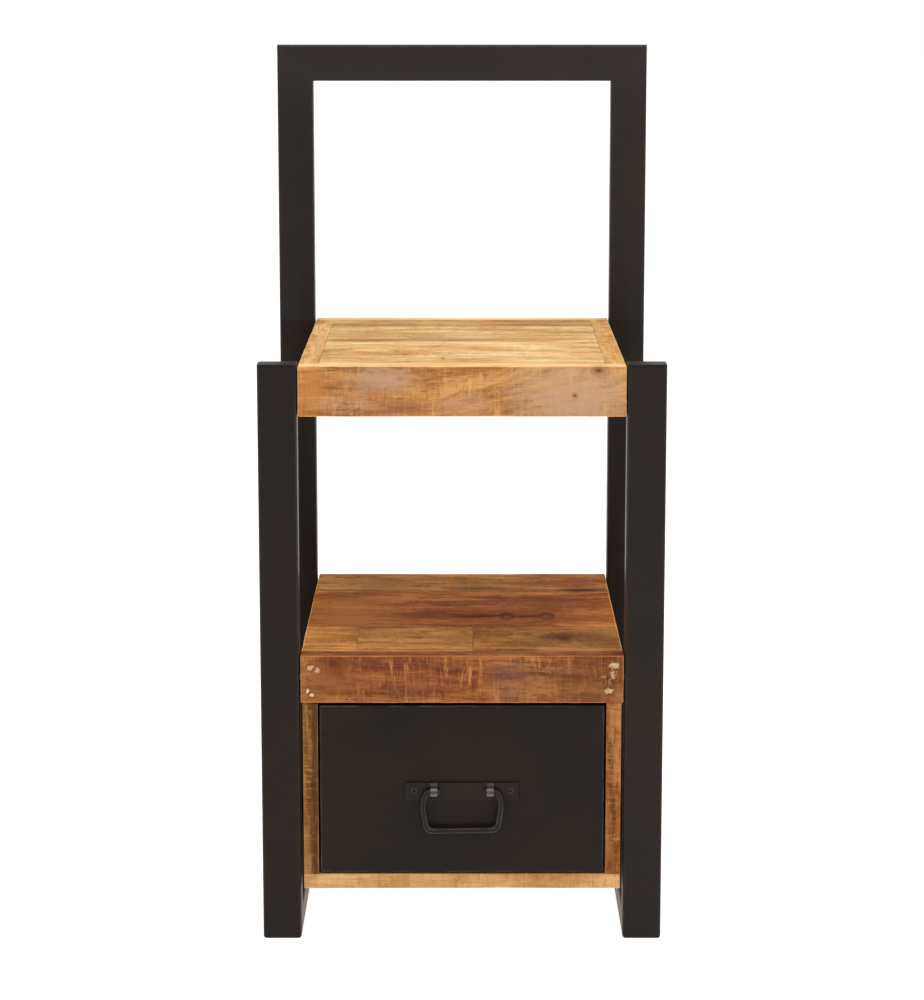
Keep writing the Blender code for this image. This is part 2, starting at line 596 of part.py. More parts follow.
def add_bail(hinge):
    """A bent iron rod whose turned-in ends run in the lugs."""
    half = bail_path()
    points = half + [(-x, z, scale) for x, z, scale in reversed(half)]
    curve = bpy.data.curves.new("handle_bail", "CURVE")
    curve.dimensions = "3D"
    curve.bevel_depth = BAIL_RADIUS
    curve.bevel_resolution = 3
    curve.use_fill_caps = True
    spline = curve.splines.new("POLY")
    spline.points.add(len(points) - 1)
    for point, (x, z, scale) in zip(spline.points, points):
        point.co = (x, 0.0, z, 1.0)
        point.radius = scale
    spline.use_smooth = True
    curve.materials.append(MATERIALS["handle_iron"])
    item = bpy.data.objects.new("handle_bail", curve)
    bpy.context.collection.objects.link(item)
    item.parent = hinge


# ---------------------------------------------------------------- assembly
clear_scene()
MATERIALS = {
    "steel": principled("steel", (0.026, 0.022, 0.020), 0.42, 0.2),
    "handle_iron": principled("handle_iron", (0.030, 0.025, 0.022), 0.50, 0.4),
    "zinc": principled("zinc", (0.45, 0.44, 0.42), 0.35, 1.0),
    "black_screw": principled("black_screw", (0.02, 0.02, 0.02), 0.40, 0.6),
    "pale_wood": principled("pale_wood", (0.62, 0.40, 0.19), 0.55),
    "amber_wood": principled("amber_wood", (0.50, 0.25, 0.09), 0.60),
    "brown_wood": principled("brown_wood", (0.29, 0.12, 0.045), 0.58),
    "red_wood": principled("red_wood", (0.26, 0.09, 0.035), 0.62),
    "plain_wood": principled("plain_wood", (0.48, 0.30, 0.15), 0.65),
    "plywood": principled("plywood", (0.55, 0.38, 0.22), 0.60),
}
frame_root = empty("frame_root", (0.0, 0.0, 0.0))
drawer_slide = empty("drawer_slide", (0.0, FACE_Y, FACE_LOW), frame_root)
bail_hinge = empty("bail_hinge", (0.0, PIVOT_Y, PIVOT_Z), drawer_slide)
rear_leg_of = {side: build_side_frame(side, sign, frame_root) for side, sign in SIDES}
build_upper_frame(rear_leg_of, frame_root)
build_upper_shelf(frame_root)
build_cabinet_top(frame_root)
build_cabinet(frame_root)
build_drawer(drawer_slide)
build_handle(drawer_slide, bail_hinge)
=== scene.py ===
import json
import math

import bmesh
import bpy
from mathutils import Matrix, Vector, noise


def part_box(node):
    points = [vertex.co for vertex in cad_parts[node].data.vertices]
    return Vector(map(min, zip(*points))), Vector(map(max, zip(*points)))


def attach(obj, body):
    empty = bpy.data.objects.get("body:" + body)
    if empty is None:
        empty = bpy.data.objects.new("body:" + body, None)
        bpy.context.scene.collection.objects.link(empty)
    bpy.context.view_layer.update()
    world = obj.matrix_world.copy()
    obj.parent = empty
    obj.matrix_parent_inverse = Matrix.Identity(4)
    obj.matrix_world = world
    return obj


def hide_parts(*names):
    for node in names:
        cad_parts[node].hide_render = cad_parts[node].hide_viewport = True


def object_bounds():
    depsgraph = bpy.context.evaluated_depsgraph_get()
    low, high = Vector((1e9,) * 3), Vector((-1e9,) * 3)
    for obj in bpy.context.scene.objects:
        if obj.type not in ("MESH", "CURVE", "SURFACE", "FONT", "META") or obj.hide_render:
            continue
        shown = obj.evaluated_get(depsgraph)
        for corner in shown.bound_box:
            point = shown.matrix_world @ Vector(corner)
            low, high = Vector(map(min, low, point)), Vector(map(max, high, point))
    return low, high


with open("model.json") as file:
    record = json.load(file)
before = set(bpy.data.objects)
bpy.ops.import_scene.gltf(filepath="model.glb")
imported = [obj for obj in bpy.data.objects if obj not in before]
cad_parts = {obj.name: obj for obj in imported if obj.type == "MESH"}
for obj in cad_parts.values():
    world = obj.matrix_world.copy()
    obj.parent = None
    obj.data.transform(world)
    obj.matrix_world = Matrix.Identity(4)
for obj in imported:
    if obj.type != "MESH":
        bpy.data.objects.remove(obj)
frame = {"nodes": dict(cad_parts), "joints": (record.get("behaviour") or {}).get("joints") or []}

CAD_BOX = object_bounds()

# ---------------------------------------------------------------- sizes, in metres
MM = 0.001
WALL = 0.0015                 # steel tube
TUBE_CORNER = 0.0028
CORNER_STEPS = 8
WORN = 0.0013                 # radius of an open arris on a board
JOINT = 0.00022               # radius of an arris at a glued joint
JOINT_CLOSE = 0.00010         # how far a board reaches into the gap of its glued joint
ALONG_STEP = 0.009            # mesh spacing on the boards
ACROSS_STEP = 0.007
ARRIS_LINES = (0.0, 0.00015, 0.00035, 0.0007, 0.0012, 0.0018, 0.0026)
ACCESS_HOLE = 0.0055
BOLT_HOLE = 0.0033
SEAM_SCREW_HOLE = 0.0046
BAIL_LEAN = 0.0018            # arms lean in by this much at their lower corners
WIRE = 0.0030                 # bail rod radius
LUG_BORE = 0.0029
LUG_STRIP = 0.0016
SCREW_HEAD = 0.0033
SKIN_SHEET = 0.0010
SKIN_FOLD = 0.0022
CAP_SOFT = 0.0007             # rounding of a leg cap's top edge
BAIL_CORNER = 0.0080
BAIL_SLANT = 0.0006           # how far the hanging bail dips to one side
SOCKET = 0.0011               # handle screw's socket, half width and depth
SCREW_SHANK = 0.0020
TOP_MARK_DEPTH = 0.008
FACE_MARK_DEPTH = 0.006
MERGE_DISTANCE = 0.00001
EYE_DISTANCE = 2.833          # in front of the legs
EYE_HEIGHT = 0.963
LOOK_DOWN = 10.29             # degrees
LENS, SENSOR = 105.7, 36.0    # millimetres
FLOOR_HALF = 30.0
FLOOR_GLOW = 0.92

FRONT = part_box("front_leg_left")[0][1]
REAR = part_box("rear_leg_left")[1][1]
HALF_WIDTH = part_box("front_leg_right")[1][0]
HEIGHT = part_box("top_rail")[1][2]
UPPER_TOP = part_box("upper_shelf_front_board")[1][2]
LOWER_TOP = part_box("cabinet_top_front_board")[1][2]
BAIL_JOINT = next(joint for joint in frame["joints"] if joint["name"] == "bail_hinge")
SIDES = (("left", -1), ("right", 1))


# ---------------------------------------------------------------- node trees
class Graph:
    """A material's node tree with short calls for the nodes that it uses."""

    def __init__(self, name):
        self.material = bpy.data.materials.new(name)
        self.material.use_nodes = True
        self.tree = self.material.node_tree
        self.tree.nodes.clear()
        output = self.add("ShaderNodeOutputMaterial")
        self.shader = self.add("ShaderNodeBsdfPrincipled")
        self.tree.links.new(self.shader.outputs[0], output.inputs[0])
        self.coords = self.add("ShaderNodeTexCoord")

    def add(self, kind, **settings):
        node = self.tree.nodes.new(kind)
        for key, value in settings.items():
            setattr(node, key, value)
        return node

    def feed(self, socket, value):
        """Link an output to a socket, or set the socket to a constant."""
        if isinstance(value, bpy.types.NodeSocket):
            self.tree.links.new(value, socket)
        elif socket.type == "RGBA":
            socket.default_value = (*value[:3], 1.0)
        else:
            socket.default_value = value

    def math(self, operation, a, b=0.0, clamp=False):
        node = self.add("ShaderNodeMath", operation=operation, use_clamp=clamp)
        self.feed(node.inputs[0], a)
        self.feed(node.inputs[1], b)
        return node.outputs[0]

    def plus(self, a, b):
        return self.math("ADD", a, b)

    def minus(self, a, b):
        return self.math("SUBTRACT", a, b)

    def times(self, a, b):
        return self.math("MULTIPLY", a, b)

    def vector(self, operation, a, b=(0.0, 0.0, 0.0)):
        node = self.add("ShaderNodeVectorMath", operation=operation)
        self.feed(node.inputs[0], a)
        self.feed(node.inputs[1], b)
        return node.outputs["Value" if operation in ("LENGTH", "DOT_PRODUCT") else "Vector"]

    def split(self, vector):
        node = self.add("ShaderNodeSeparateXYZ")
        self.feed(node.inputs[0], vector)
        return list(node.outputs)

    def join(self, x, y, z):
        node = self.add("ShaderNodeCombineXYZ")
        for socket, value in zip(node.inputs, (x, y, z)):
            self.feed(socket, value)
        return node.outputs[0]

    def noise(self, place, scale, detail=2.0, rough=0.5):
        """Noise of 0 to 1 in space with a scale for each axis, or along one value, in cells per metre."""
        in_space = isinstance(scale, tuple)
        node = self.add("ShaderNodeTexNoise", noise_dimensions="3D" if in_space else "1D")
        if in_space:
            place = self.vector("MULTIPLY", place, scale)
        self.feed(node.inputs["Vector" if in_space else "W"], place)
        for name, value in (("Scale", 1.0 if in_space else scale), ("Detail", detail), ("Roughness", rough)):
            node.inputs[name].default_value = value
        return node.outputs["Fac"]

    def step(self, value, low, high, at_low=0.0, at_high=1.0):
        """Smooth step of a value between two levels."""
        node = self.add("ShaderNodeMapRange", interpolation_type="SMOOTHSTEP")
        for socket, number in zip(node.inputs, (value, low, high, at_low, at_high)):
            self.feed(socket, number)
        return node.outputs[0]

    def mix(self, factor, a, b, blend="MIX"):
        node = self.add("ShaderNodeMix", data_type="RGBA", blend_type=blend)
        self.feed(node.inputs[0], factor)
        self.feed(node.inputs[6], a)
        self.feed(node.inputs[7], b)
        return node.outputs[2]

    def fade(self, colour, tint, field, low, high, cover):
        """A tint over a colour, covering it where a field is low."""
        return self.mix(self.step(field, low, high, cover, 0.0), colour, tint)

    def set(self, **values):
        """Feed the shader's inputs, by their names with _ for a space."""
        for name, value in values.items():
            self.feed(self.shader.inputs[name.replace("_", " ")], value)

    def bump(self, height, depth):
        """Relief whose height of 1 stands for the given depth in metres."""
        node = self.add("ShaderNodeBump")
        node.inputs["Strength"].default_value = 1.0
        node.inputs["Distance"].default_value = depth
        self.feed(node.inputs["Height"], height)
        return node.outputs[0]

    def face_mask(self, axis):
        """1 on faces square to an axis."""
        part = self.split(self.coords.outputs["Normal"])[axis]
        return self.step(self.math("ABSOLUTE", part), 0.75, 0.92)

    def arris_mask(self, low=0.03, high=0.2):
        """1 on rounded edges, where the normal leaves all three axes."""
        parts = [self.math("ABSOLUTE", part) for part in self.split(self.coords.outputs["Normal"])]
        largest = self.math("MAXIMUM", self.math("MAXIMUM", parts[0], parts[1]), parts[2])
        return self.step(self.math("SUBTRACT", 1.0, largest), low, high)

    def upper_mask(self):
        """1 on faces that look up."""
        return self.step(self.split(self.coords.outputs["Normal"])[2], 0.6, 0.9)


# ---------------------------------------------------------------- wood
PALETTES = {                  # light, middle, dark, patch, in linear colour
    "honey": ((0.90, 0.62, 0.31), (0.74, 0.43, 0.16), (0.36, 0.17, 0.045), (0.66, 0.31, 0.085)),
    "amber": ((0.72, 0.38, 0.14), (0.54, 0.235, 0.065), (0.24, 0.085, 0.022), (0.56, 0.30, 0.16)),
    "golden": ((0.64, 0.31, 0.085), (0.42, 0.165, 0.036), (0.12, 0.036, 0.008), (0.29, 0.10, 0.022)),
    "brown": ((0.56, 0.22, 0.055), (0.34, 0.105, 0.022), (0.095, 0.022, 0.006), (0.17, 0.040, 0.010)),
    "red": ((0.46, 0.18, 0.055), (0.29, 0.082, 0.024), (0.10, 0.025, 0.009), (0.17, 0.060, 0.040)),
    "tan": ((0.78, 0.44, 0.17), (0.60, 0.29, 0.085), (0.32, 0.13, 0.035), (0.56, 0.27, 0.10)),
    "plain": ((0.66, 0.43, 0.22), (0.52, 0.30, 0.14), (0.30, 0.16, 0.065), (0.46, 0.28, 0.14)),
}
FILLER = (0.80, 0.58, 0.30)
BLACK_KNOT = (0.022, 0.010, 0.006)
EYE_CENTRE = (0.30, 0.090, 0.024)


def scaled(colour, gain):
    gains = gain if isinstance(gain, tuple) else (gain, gain, gain)
    return tuple(min(1.0, channel * part) for channel, part in zip(colour, gains))


def mark_fields(g, place, marks, slow, quick):
    """Distance from each mark in its own radii, and the sum of their pushes on the grain."""
    push = None
    fields = []
    for mark in marks:
        away = g.vector("SUBTRACT", place, mark["at"])
        away = g.vector("MULTIPLY", away, tuple(1.0 / radius for radius in mark["radii"]))
        ragged = quick if mark["kind"] in ("filler", "crack") else slow
        if mark["kind"] == "eye":
            ragged = g.times(slow, 0.50)
        length = g.vector("LENGTH", away)
        fields.append((mark, g.plus(length, ragged)))
        if mark["kind"] not in ("knot", "eye"):
            continue
        fall = g.times(g.times(length, length), -0.16)
        swell = g.times(g.math("EXPONENT", fall), mark.get("push", 0.012))
        push = swell if push is None else g.plus(push, swell)
    return fields, push


def paint_marks(g, colour, fields, dark, flame):
    """Knots, eyes, cracks, stains and filler over the board's colour."""
    for mark, distance in fields:
        kind = mark["kind"]
        strength = mark.get("strength", 1.0)
        if kind == "knot":
            colour = g.fade(colour, scaled(dark, 1.6), distance, 0.8, 3.2, 0.75 * strength)
            rings = g.math("SINE", g.times(distance, 8.0))
            colour = g.fade(colour, dark, distance, 0.6, 1.3, 0.9 * strength)
            core = g.times(g.step(distance, 0.3, 0.9, strength, 0.0), g.step(rings, -0.7, 0.7))
            colour = g.mix(core, colour, BLACK_KNOT)
        elif kind == "eye":
            colour = g.fade(colour, dark, distance, 0.9, 1.9, 0.45 * strength)
            colour = g.fade(colour, EYE_CENTRE, distance, 0.35, 0.75, 0.8 * strength)
            rim = g.math("ABSOLUTE", g.minus(distance, 0.95))
            colour = g.fade(colour, BLACK_KNOT, rim, 0.16, 0.46, strength)
        elif kind == "crack":
            colour = g.fade(colour, dark, distance, 0.8, 2.2, 0.45 * strength)
            colour = g.fade(colour, BLACK_KNOT, distance, 0.60, 1.05, strength)
        elif kind == "filler":
            colour = g.fade(colour, dark, distance, 1.0, 1.7, 0.35 * strength)
            colour = g.fade(colour, FILLER, distance, 0.60, 1.05, 0.9 * strength)
        else:
            veined = g.times(g.step(distance, 0.2, 1.4, strength, 0.0),
                            g.step(flame, 0.30, 0.58, 0.45, 1.0))
            colour = g.mix(veined, colour, mark.get("tint", dark))
    return colour


def wood(name, grain, centre, seed, palette, gain=1.0, pith=(0.015, -0.060), tilt=0.06, rings=170.0,
         figure=0.45, saw=(), saw_strength=0.5, streaks=0.75, patches=0.8, warp=0.010, marks=(),
         roughness=0.62, top=None, streak_scale=80.0):
    """Solid mango wood: rings round a pith line, fibres, pores, saw marks, worn edges and marks; the worn
    edges are lightened partly as wear, partly as a painted highlight.

    grain is the axis that the fibres run along. Marks are placed in world metres. top names the palette of
    the upper face, painted paler: partly the honey colour of the planks beside it, partly a painted highlight
    from above.
    """
    light, middle, dark, patch = (scaled(colour, gain) for colour in PALETTES[palette])
    g = Graph(name)
    here = g.coords.outputs["Object"]
    order = {0: (0, 1, 2), 1: (1, 0, 2), 2: (2, 0, 1)}[grain]
    parts = g.split(g.vector("SUBTRACT", here, centre))
    along, across, deep = (parts[i] for i in order)
    q = g.join(g.plus(along, 0.731 * seed), g.plus(across, 0.377 * seed),
               g.plus(deep, 0.193 * seed))
    slow = g.times(g.minus(g.noise(q, (110, 190, 190), 3.0, 0.65), 0.5), 1.3)
    quick = g.times(g.minus(g.noise(q, (360, 420, 420), 3.0, 0.65), 0.5), 2.2)
    fields, push = mark_fields(g, here, marks, slow, quick)

    # growth rings round the pith line, bent by waves and by the knots
    bend = g.times(g.minus(g.noise(q, (7, 20, 20), 3.0, 0.55), 0.5), 2.0 * warp)
    lean = g.times(along, tilt)
    side = g.plus(g.minus(across, pith[0]), g.plus(bend, lean))
    down = g.plus(g.minus(deep, pith[1]), g.times(bend, 0.6))
    radius = g.math("SQRT", g.plus(g.times(side, side), g.times(down, down)))
    if push is not None:
        radius = g.plus(radius, push)
    bands = g.noise(g.plus(radius, 0.37 * seed), rings, 4.0, 0.65)
    follow = g.join(g.plus(along, 0.61 * seed), radius, g.times(side, 0.18))
    tone = g.noise(q, (7, 30, 30), 3.0, 0.6)
    flame = g.noise(follow, (8, streak_scale, streak_scale), 6.0, 0.72)
    fibre = g.noise(q, (26, 640, 640), 4.0, 0.70)
    ripple = g.noise(q, (60, 18, 18), 2.0, 0.5)
    pores = g.noise(q, (70, 1300, 1300), 1.0)
    flecks = g.noise(q, (150, 520, 520), 2.0, 0.6)
    speckle = g.noise(follow, (60, 240, 240), 3.0, 0.75)

    colour = g.mix(g.step(tone, 0.36, 0.58), light, middle)
    for field, low, high, at_low, at_high, tint in (
            (tone, 0.52, 0.70, 0.0, patches, patch),
            (bands, 0.48, 0.70, 0.0, figure, dark),
            (flame, 0.48, 0.66, 0.0, streaks, dark),
            (flame, 0.32, 0.46, 0.60, 0.0, scaled(light, 1.08)),
            (speckle, 0.52, 0.68, 0.0, 0.55, dark),
            (speckle, 0.32, 0.46, 0.45, 0.0, scaled(light, 1.05)),
            (fibre, 0.50, 0.74, 0.0, 0.60, dark),
            (fibre, 0.24, 0.46, 0.40, 0.0, light),
            (ripple, 0.50, 0.70, 0.0, 0.22, middle),
            (flecks, 0.64, 0.78, 0.0, 0.45, scaled(dark, 0.8)),
    ):
        colour = g.mix(g.step(field, low, high, at_low, at_high), colour, tint)
    pore_mask = g.step(pores, 0.60, 0.74)
    colour = g.mix(g.times(pore_mask, 0.40), colour, scaled(dark, 0.6))

    height = g.plus(g.times(fibre, 0.35), g.times(pore_mask, -0.30))
    for axis in saw:
        # band-saw lines across the fibres, left in patches where the planer missed them
        line = g.plus(along, g.times(g.noise(q, (20, 30, 30), 1.0), 0.0015))
        cross = g.join(line, g.times(across, 0.10), g.times(deep, 0.10))
        lines = g.noise(cross, (520, 520, 520), 2.0, 0.70)
        coarse = g.noise(cross, (170, 300, 300), 3.0, 0.70)
        where = g.times(g.step(g.noise(q, (26, 40, 40), 3.0, 0.6), 0.36, 0.60, 0.40, 1.0),
                       g.face_mask(axis))
        amount = g.times(where, saw_strength)
        colour = g.mix(g.times(g.step(lines, 0.54, 0.74, 0.0, 0.75), amount), colour, dark)
        colour = g.mix(g.times(g.step(lines, 0.28, 0.44, 0.65, 0.0), amount), colour,
                       scaled(light, 1.1))
        colour = g.mix(g.times(g.step(coarse, 0.54, 0.70, 0.0, 0.85), amount), colour,
                       scaled(light, 1.25))
        height = g.plus(height, g.times(g.times(lines, amount), 1.6))
    # upper face in the top palette: the planks' honey colour, and partly a painted highlight from above
    if top:
        light_top, middle_top, dark_top, patch_top = PALETTES[top]
        upper = g.mix(g.step(tone, 0.40, 0.70), light_top, middle_top)
        upper = g.mix(g.step(flame, 0.50, 0.74, 0.0, 0.4), upper, dark_top)
        colour = g.mix(g.upper_mask(), colour, upper)
    colour = paint_marks(g, colour, fields, dark, flame)
    for mark, distance in fields:
        if mark["kind"] in ("crack", "eye", "filler"):
            sign = 0.6 if mark["kind"] == "filler" else -1.6
            height = g.plus(height, g.step(distance, 0.4, 1.1, sign, 0.0))

    # worn arrises painted lighter: partly rubbed wear, partly a painted highlight along the edges
    rubbed_and_highlight = g.step(g.noise(q, (70, 120, 120), 2.0), 0.30, 0.60, 0.50, 1.0)
    colour = g.mix(g.times(g.arris_mask(), rubbed_and_highlight), colour, scaled(light, 1.55))
    shine = g.plus(g.times(fibre, 0.18), g.times(tone, 0.10))
    g.set(Base_Color=colour, Roughness=g.plus(shine, roughness - 0.14), Specular_IOR_Level=0.03,
          Normal=g.bump(height, 0.00024))
    return g.material


# ---------------------------------------------------------------- metal
def coated_steel(name, colour, roughness, grain=900.0, relief=0.00004, mottle=0.35, worn=0.5,
                 wear_and_highlight_colour=(0.050, 0.040, 0.033), gloss=0.07, coat=0.14, painted_light_above=None):
    """Black powder coat: fine orange peel, cloudy gloss, and edges a little lighter, partly as rubbed wear
    and partly as painted highlight.
    """
    g = Graph(name)
    here = g.coords.outputs["Object"]
    peel = g.noise(here, (grain, grain, grain), 2.0, 0.6)
    cloud = g.noise(here, (9, 9, 9), 3.0, 0.6)
    dust = g.noise(here, (260, 260, 260), 3.0, 0.7)
    base = g.mix(g.step(cloud, 0.35, 0.70, 0.0, mottle), colour, scaled(colour, (2.0, 1.6, 1.5)))
    base = g.mix(g.step(dust, 0.62, 0.80, 0.0, 0.35), base, scaled(colour, 2.2))
    # edges painted lighter: partly rubbed wear, partly a painted highlight
    rubbed_and_highlight = g.times(g.arris_mask(0.02, 0.16),
                    g.step(g.noise(here, (60, 60, 60), 3.0), 0.35, 0.70, 0.3, worn))
    base = g.mix(rubbed_and_highlight, base, wear_and_highlight_colour)
    # painted light: the coat lighter higher up, where the top rail shows brighter reflected light
    if painted_light_above:
        rise = g.step(g.split(here)[2], *painted_light_above)
        base = g.mix(rise, base, scaled(colour, 1.55))
    gloss_noise = g.plus(g.times(cloud, 0.14), g.plus(g.times(dust, 0.10), roughness - 0.12))
    g.set(Base_Color=base, Roughness=gloss_noise, Specular_IOR_Level=gloss, Coat_Weight=coat,
          Coat_Roughness=0.22, Normal=g.bump(peel, relief))
    return g.material


def plated_steel(name):
    """Zinc plating with dull spots, which also give it a fine relief."""
    g = Graph(name)
    here = g.coords.outputs["Object"]
    spots = g.noise(here, (400, 400, 400), 3.0, 0.6)
    g.set(Base_Color=g.mix(g.step(spots, 0.40, 0.70), (0.55, 0.54, 0.50), (0.34, 0.33, 0.31)),
          Roughness=g.step(spots, 0.30, 0.70, 0.28, 0.48), Metallic=1.0, Normal=g.bump(spots, 0.00003))
    return g.material


STEEL = coated_steel("steel_coat", (0.0115, 0.0080, 0.0058), 0.46)
# painted light: a lighter copy of the coat for the right-hand legs, standing in for light from the right
STEEL_PAINTED_LIGHTER_RIGHT = coated_steel("steel_coat_painted_lighter_right", (0.0135, 0.0100, 0.0076), 0.46)
# painted light: a lighter copy of the coat for the upper frame, standing in for brighter light on it
UPPER_STEEL_PAINTED_LIGHTER = coated_steel("upper_frame_coat_painted_lighter", (0.0175, 0.0143, 0.0126), 0.44, painted_light_above=(0.78, 0.90))
# lighter fold edges: partly rubbed wear, partly a painted highlight on the top fold
SKIN_STEEL = coated_steel("drawer_skin_coat", (0.0110, 0.0076, 0.0050), 0.52, grain=700.0, mottle=0.6,
                          worn=1.0, wear_and_highlight_colour=(0.085, 0.070, 0.060), coat=0.10)
PLATE_IRON = coated_steel("handle_plate_coat", (0.0100, 0.0074, 0.0054), 0.50, grain=380.0, relief=0.00012,
                          mottle=0.9, worn=0.8, wear_and_highlight_colour=(0.060, 0.050, 0.042), gloss=0.08)
IRON = coated_steel("handle_coat", (0.0110, 0.0084, 0.0066), 0.40, grain=380.0, relief=0.00012, mottle=0.9,
                    worn=0.9, wear_and_highlight_colour=(0.070, 0.060, 0.052), gloss=0.12, coat=0.06)
# pale lug edges: partly wear, partly a painted highlight on the tail that faces up
LUG_IRON = coated_steel("lug_coat", (0.034, 0.030, 0.026), 0.42, grain=380.0, relief=0.00012, mottle=0.9,
                        worn=1.0, wear_and_highlight_colour=(0.20, 0.18, 0.16), gloss=0.35)
SCREW_BLACK = coated_steel("screw_black", (0.014, 0.012, 0.010), 0.38, worn=0.8)
ZINC = plated_steel("zinc_plate")


# ---------------------------------------------------------------- mesh helpers
def corners(node):
    low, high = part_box(node)
    return Vector(low), Vector(high)


def place(node, mesh, body, material, slot):
    """Link a mesh that stands for a CAD node, and let it ride on a body."""
    mesh.materials.append(material)
    item = bpy.data.objects.new(f"{node}_finished", mesh)
    bpy.context.collection.objects.link(item)
    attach(item, body)
    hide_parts(node)
    return item


def mesh_from(name, points, faces, smooth_angle=40):
    mesh = bpy.data.meshes.new(name)
    mesh.from_pydata([tuple(point) for point in points], [], faces)
    mesh.validate()
    shade(mesh, smooth_angle)
    return mesh


def ring_faces(rings, count, closed=False, inward=False):
    """Quads that join each ring of points to the next, and the last to the first if closed."""
    faces = []
    for k in range(rings if closed else rings - 1):
        near, far = k * count, (k + 1) % rings * count
        for i in range(count):
            j = (i + 1) % count
            quad = (near + i, near + j, far + j, far + i)
            faces.append((near + i, far + i, far + j, near + j) if inward else quad)
    return faces


def face_outwards(mesh, merge=False):
    """Turn all faces outwards, after merging points that coincide if asked."""
    bm = bmesh.new()
    bm.from_mesh(mesh)
    if merge:
        bmesh.ops.remove_doubles(bm, verts=bm.verts, dist=MERGE_DISTANCE)
    bmesh.ops.recalc_face_normals(bm, faces=bm.faces)
    bm.to_mesh(mesh)
    bm.free()


def shade(mesh, angle):
    mesh.shade_smooth()
    mesh.set_sharp_from_angle(angle=math.radians(angle))


def lattice(xs, ys, zs):
    """Surface of a box as a grid on the given lines: its points and its outward quads."""
    points = []
    index = {}
    quads = []

    def at(*key):
        if key not in index:
            index[key] = len(points)
            points.append(Vector((xs[key[0]], ys[key[1]], zs[key[2]])))
        return index[key]

    lines = (xs, ys, zs)
    last = [len(line) - 1 for line in lines]
    for axis in range(3):
        u, v = [a for a in range(3) if a != axis]
        for end in (0, last[axis]):
            for i in range(last[u]):
                for j in range(last[v]):
                    quad = []
                    for du, dv in ((0, 0), (1, 0), (1, 1), (0, 1)):
                        key = [0, 0, 0]
                        key[axis] = end
                        key[u] = i + du
                        key[v] = j + dv
                        quad.append(at(*key))
                    if (end == 0) != (axis == 1):
                        quad.reverse()
                    quads.append(quad)
    return points, quads


def grid_lines(low, high, step, extra=()):
    """Grid lines between two ends, close together at both ends and at extra places."""
    size = high - low
    edge = [line for line in ARRIS_LINES if line < size / 2 - 0.0002]
    count = max(1, round((size - 2 * edge[-1]) / step))
    middle = [low + edge[-1] + (size - 2 * edge[-1]) * i / count for i in range(1, count)]
    lines = [low + line for line in edge] + middle + [high - line for line in reversed(edge)]
    inside = [line for line in extra if low + edge[-1] < line < high - edge[-1]]
    lines = sorted(lines + inside)
    kept = [lines[0]]
    for line in lines[1:]:
        if line - kept[-1] > 0.00012:
            kept.append(line)
    kept[-1] = high
    return kept


def round_corner(point, low, high, faces_open, worn, joint, seed):
    """Move a point of a box's surface in, onto the box's rounded and worn edges."""
    near = []
    for axis in range(3):
        side = 0 if point[axis] - low[axis] < high[axis] - point[axis] else 1
        gap = point[axis] - low[axis] if side == 0 else high[axis] - point[axis]
        near.append((gap, axis, side))
    first, second = sorted(near)[:2]
    both_open = all(f"{'xyz'[axis]}{'-+'[side]}" in faces_open for gap, axis, side in (first, second))
    radius = joint
    if both_open:
        spot = point * 26.0 + Vector((seed, 2.1 * seed, 0.7 * seed))
        slow = noise.noise(spot)
        quick = noise.noise(spot * 5.3)
        radius = worn * (1.0 + 0.55 * slow + 0.30 * quick + 1.6 * max(0.0, slow - 0.38))
    reach = [max(0.0, radius - gap) for gap, axis, side in near]
    if sum(r > 0.0 for r in reach) < 2:
        return point
    length = math.sqrt(sum(r * r for r in reach))
    moved = point.copy()
    for r, (gap, axis, side) in zip(reach, near):
        if r > 0.0:
            inset = radius - radius * r / length
            moved[axis] = low[axis] + inset if side == 0 else high[axis] - inset
    return moved


def board_mesh(name, low, high, faces_open, seed, worn=WORN, joint=JOINT, wave=0.00018, dents=()):
    """A board with eased, unevenly worn arrises, slightly wavy faces and dents."""
    size = high - low
    longest = max(range(3), key=lambda axis: size[axis])
    lines = []
    for axis in range(3):
        extra = []
        for dent in dents:
            centre, radius = dent["at"][axis], dent["radii"][axis]
            extra += [centre + radius * share / 4 for share in range(-8, 9)]
        lines.append(grid_lines(low[axis], high[axis], ALONG_STEP if axis == longest else ACROSS_STEP, extra))
    points, quads = lattice(*lines)
    moved = []
    for point in points:
        shift = Vector((0.0, 0.0, 0.0))
        for axis in range(3):
            for side, end, inward in ((0, low, 1.0), (1, high, -1.0)):
                if abs(point[axis] - end[axis]) > 1e-6:
                    continue
                level = 0.5 + 0.5 * noise.noise(point * 9.0 + Vector((seed, axis, side)))
                shift[axis] += inward * wave * level
                for dent in dents:
                    if dent["face"] != f"{'xyz'[axis]}{'-+'[side]}":
                        continue
                    away = sum(((point[a] - dent["at"][a]) / dent["radii"][a]) ** 2
                               for a in range(3) if a != axis)
                    ragged = 1.0 + 0.5 * noise.noise(point * 420.0)
                    shift[axis] += inward * dent["depth"] * math.exp(-away * ragged)
        moved.append(round_corner(point, low, high, faces_open, worn, joint, seed) + shift)
    return mesh_from(name, moved, quads)


def make_board(node, body, slot, material, faces_open, seed, **options):
    low, high = corners(node)
    for axis in range(3):
        if f"{'xyz'[axis]}-" not in faces_open:
            low[axis] -= JOINT_CLOSE
        if f"{'xyz'[axis]}+" not in faces_open:
            high[axis] += JOINT_CLOSE
    mesh = board_mesh(f"{node}_mesh", low, high, faces_open, seed, **options)
    return place(node, mesh, body, material, slot)


def wooden_board(node, grain, seed, palette, slot, faces_open, body="frame", name=None, worn=WORN,
                 wave=0.00018, dents=(), **look):
    """A board in its own wood. grain is the axis that its fibres run along."""
    material = wood(name or f"wood_{node}", grain, middle_of(node), seed, palette, **look)
    make_board(node, body, slot, material, faces_open, seed, worn=worn, wave=wave, dents=dents)


def middle_of(node):
    low, high = corners(node)
    return tuple((low + high) / 2)


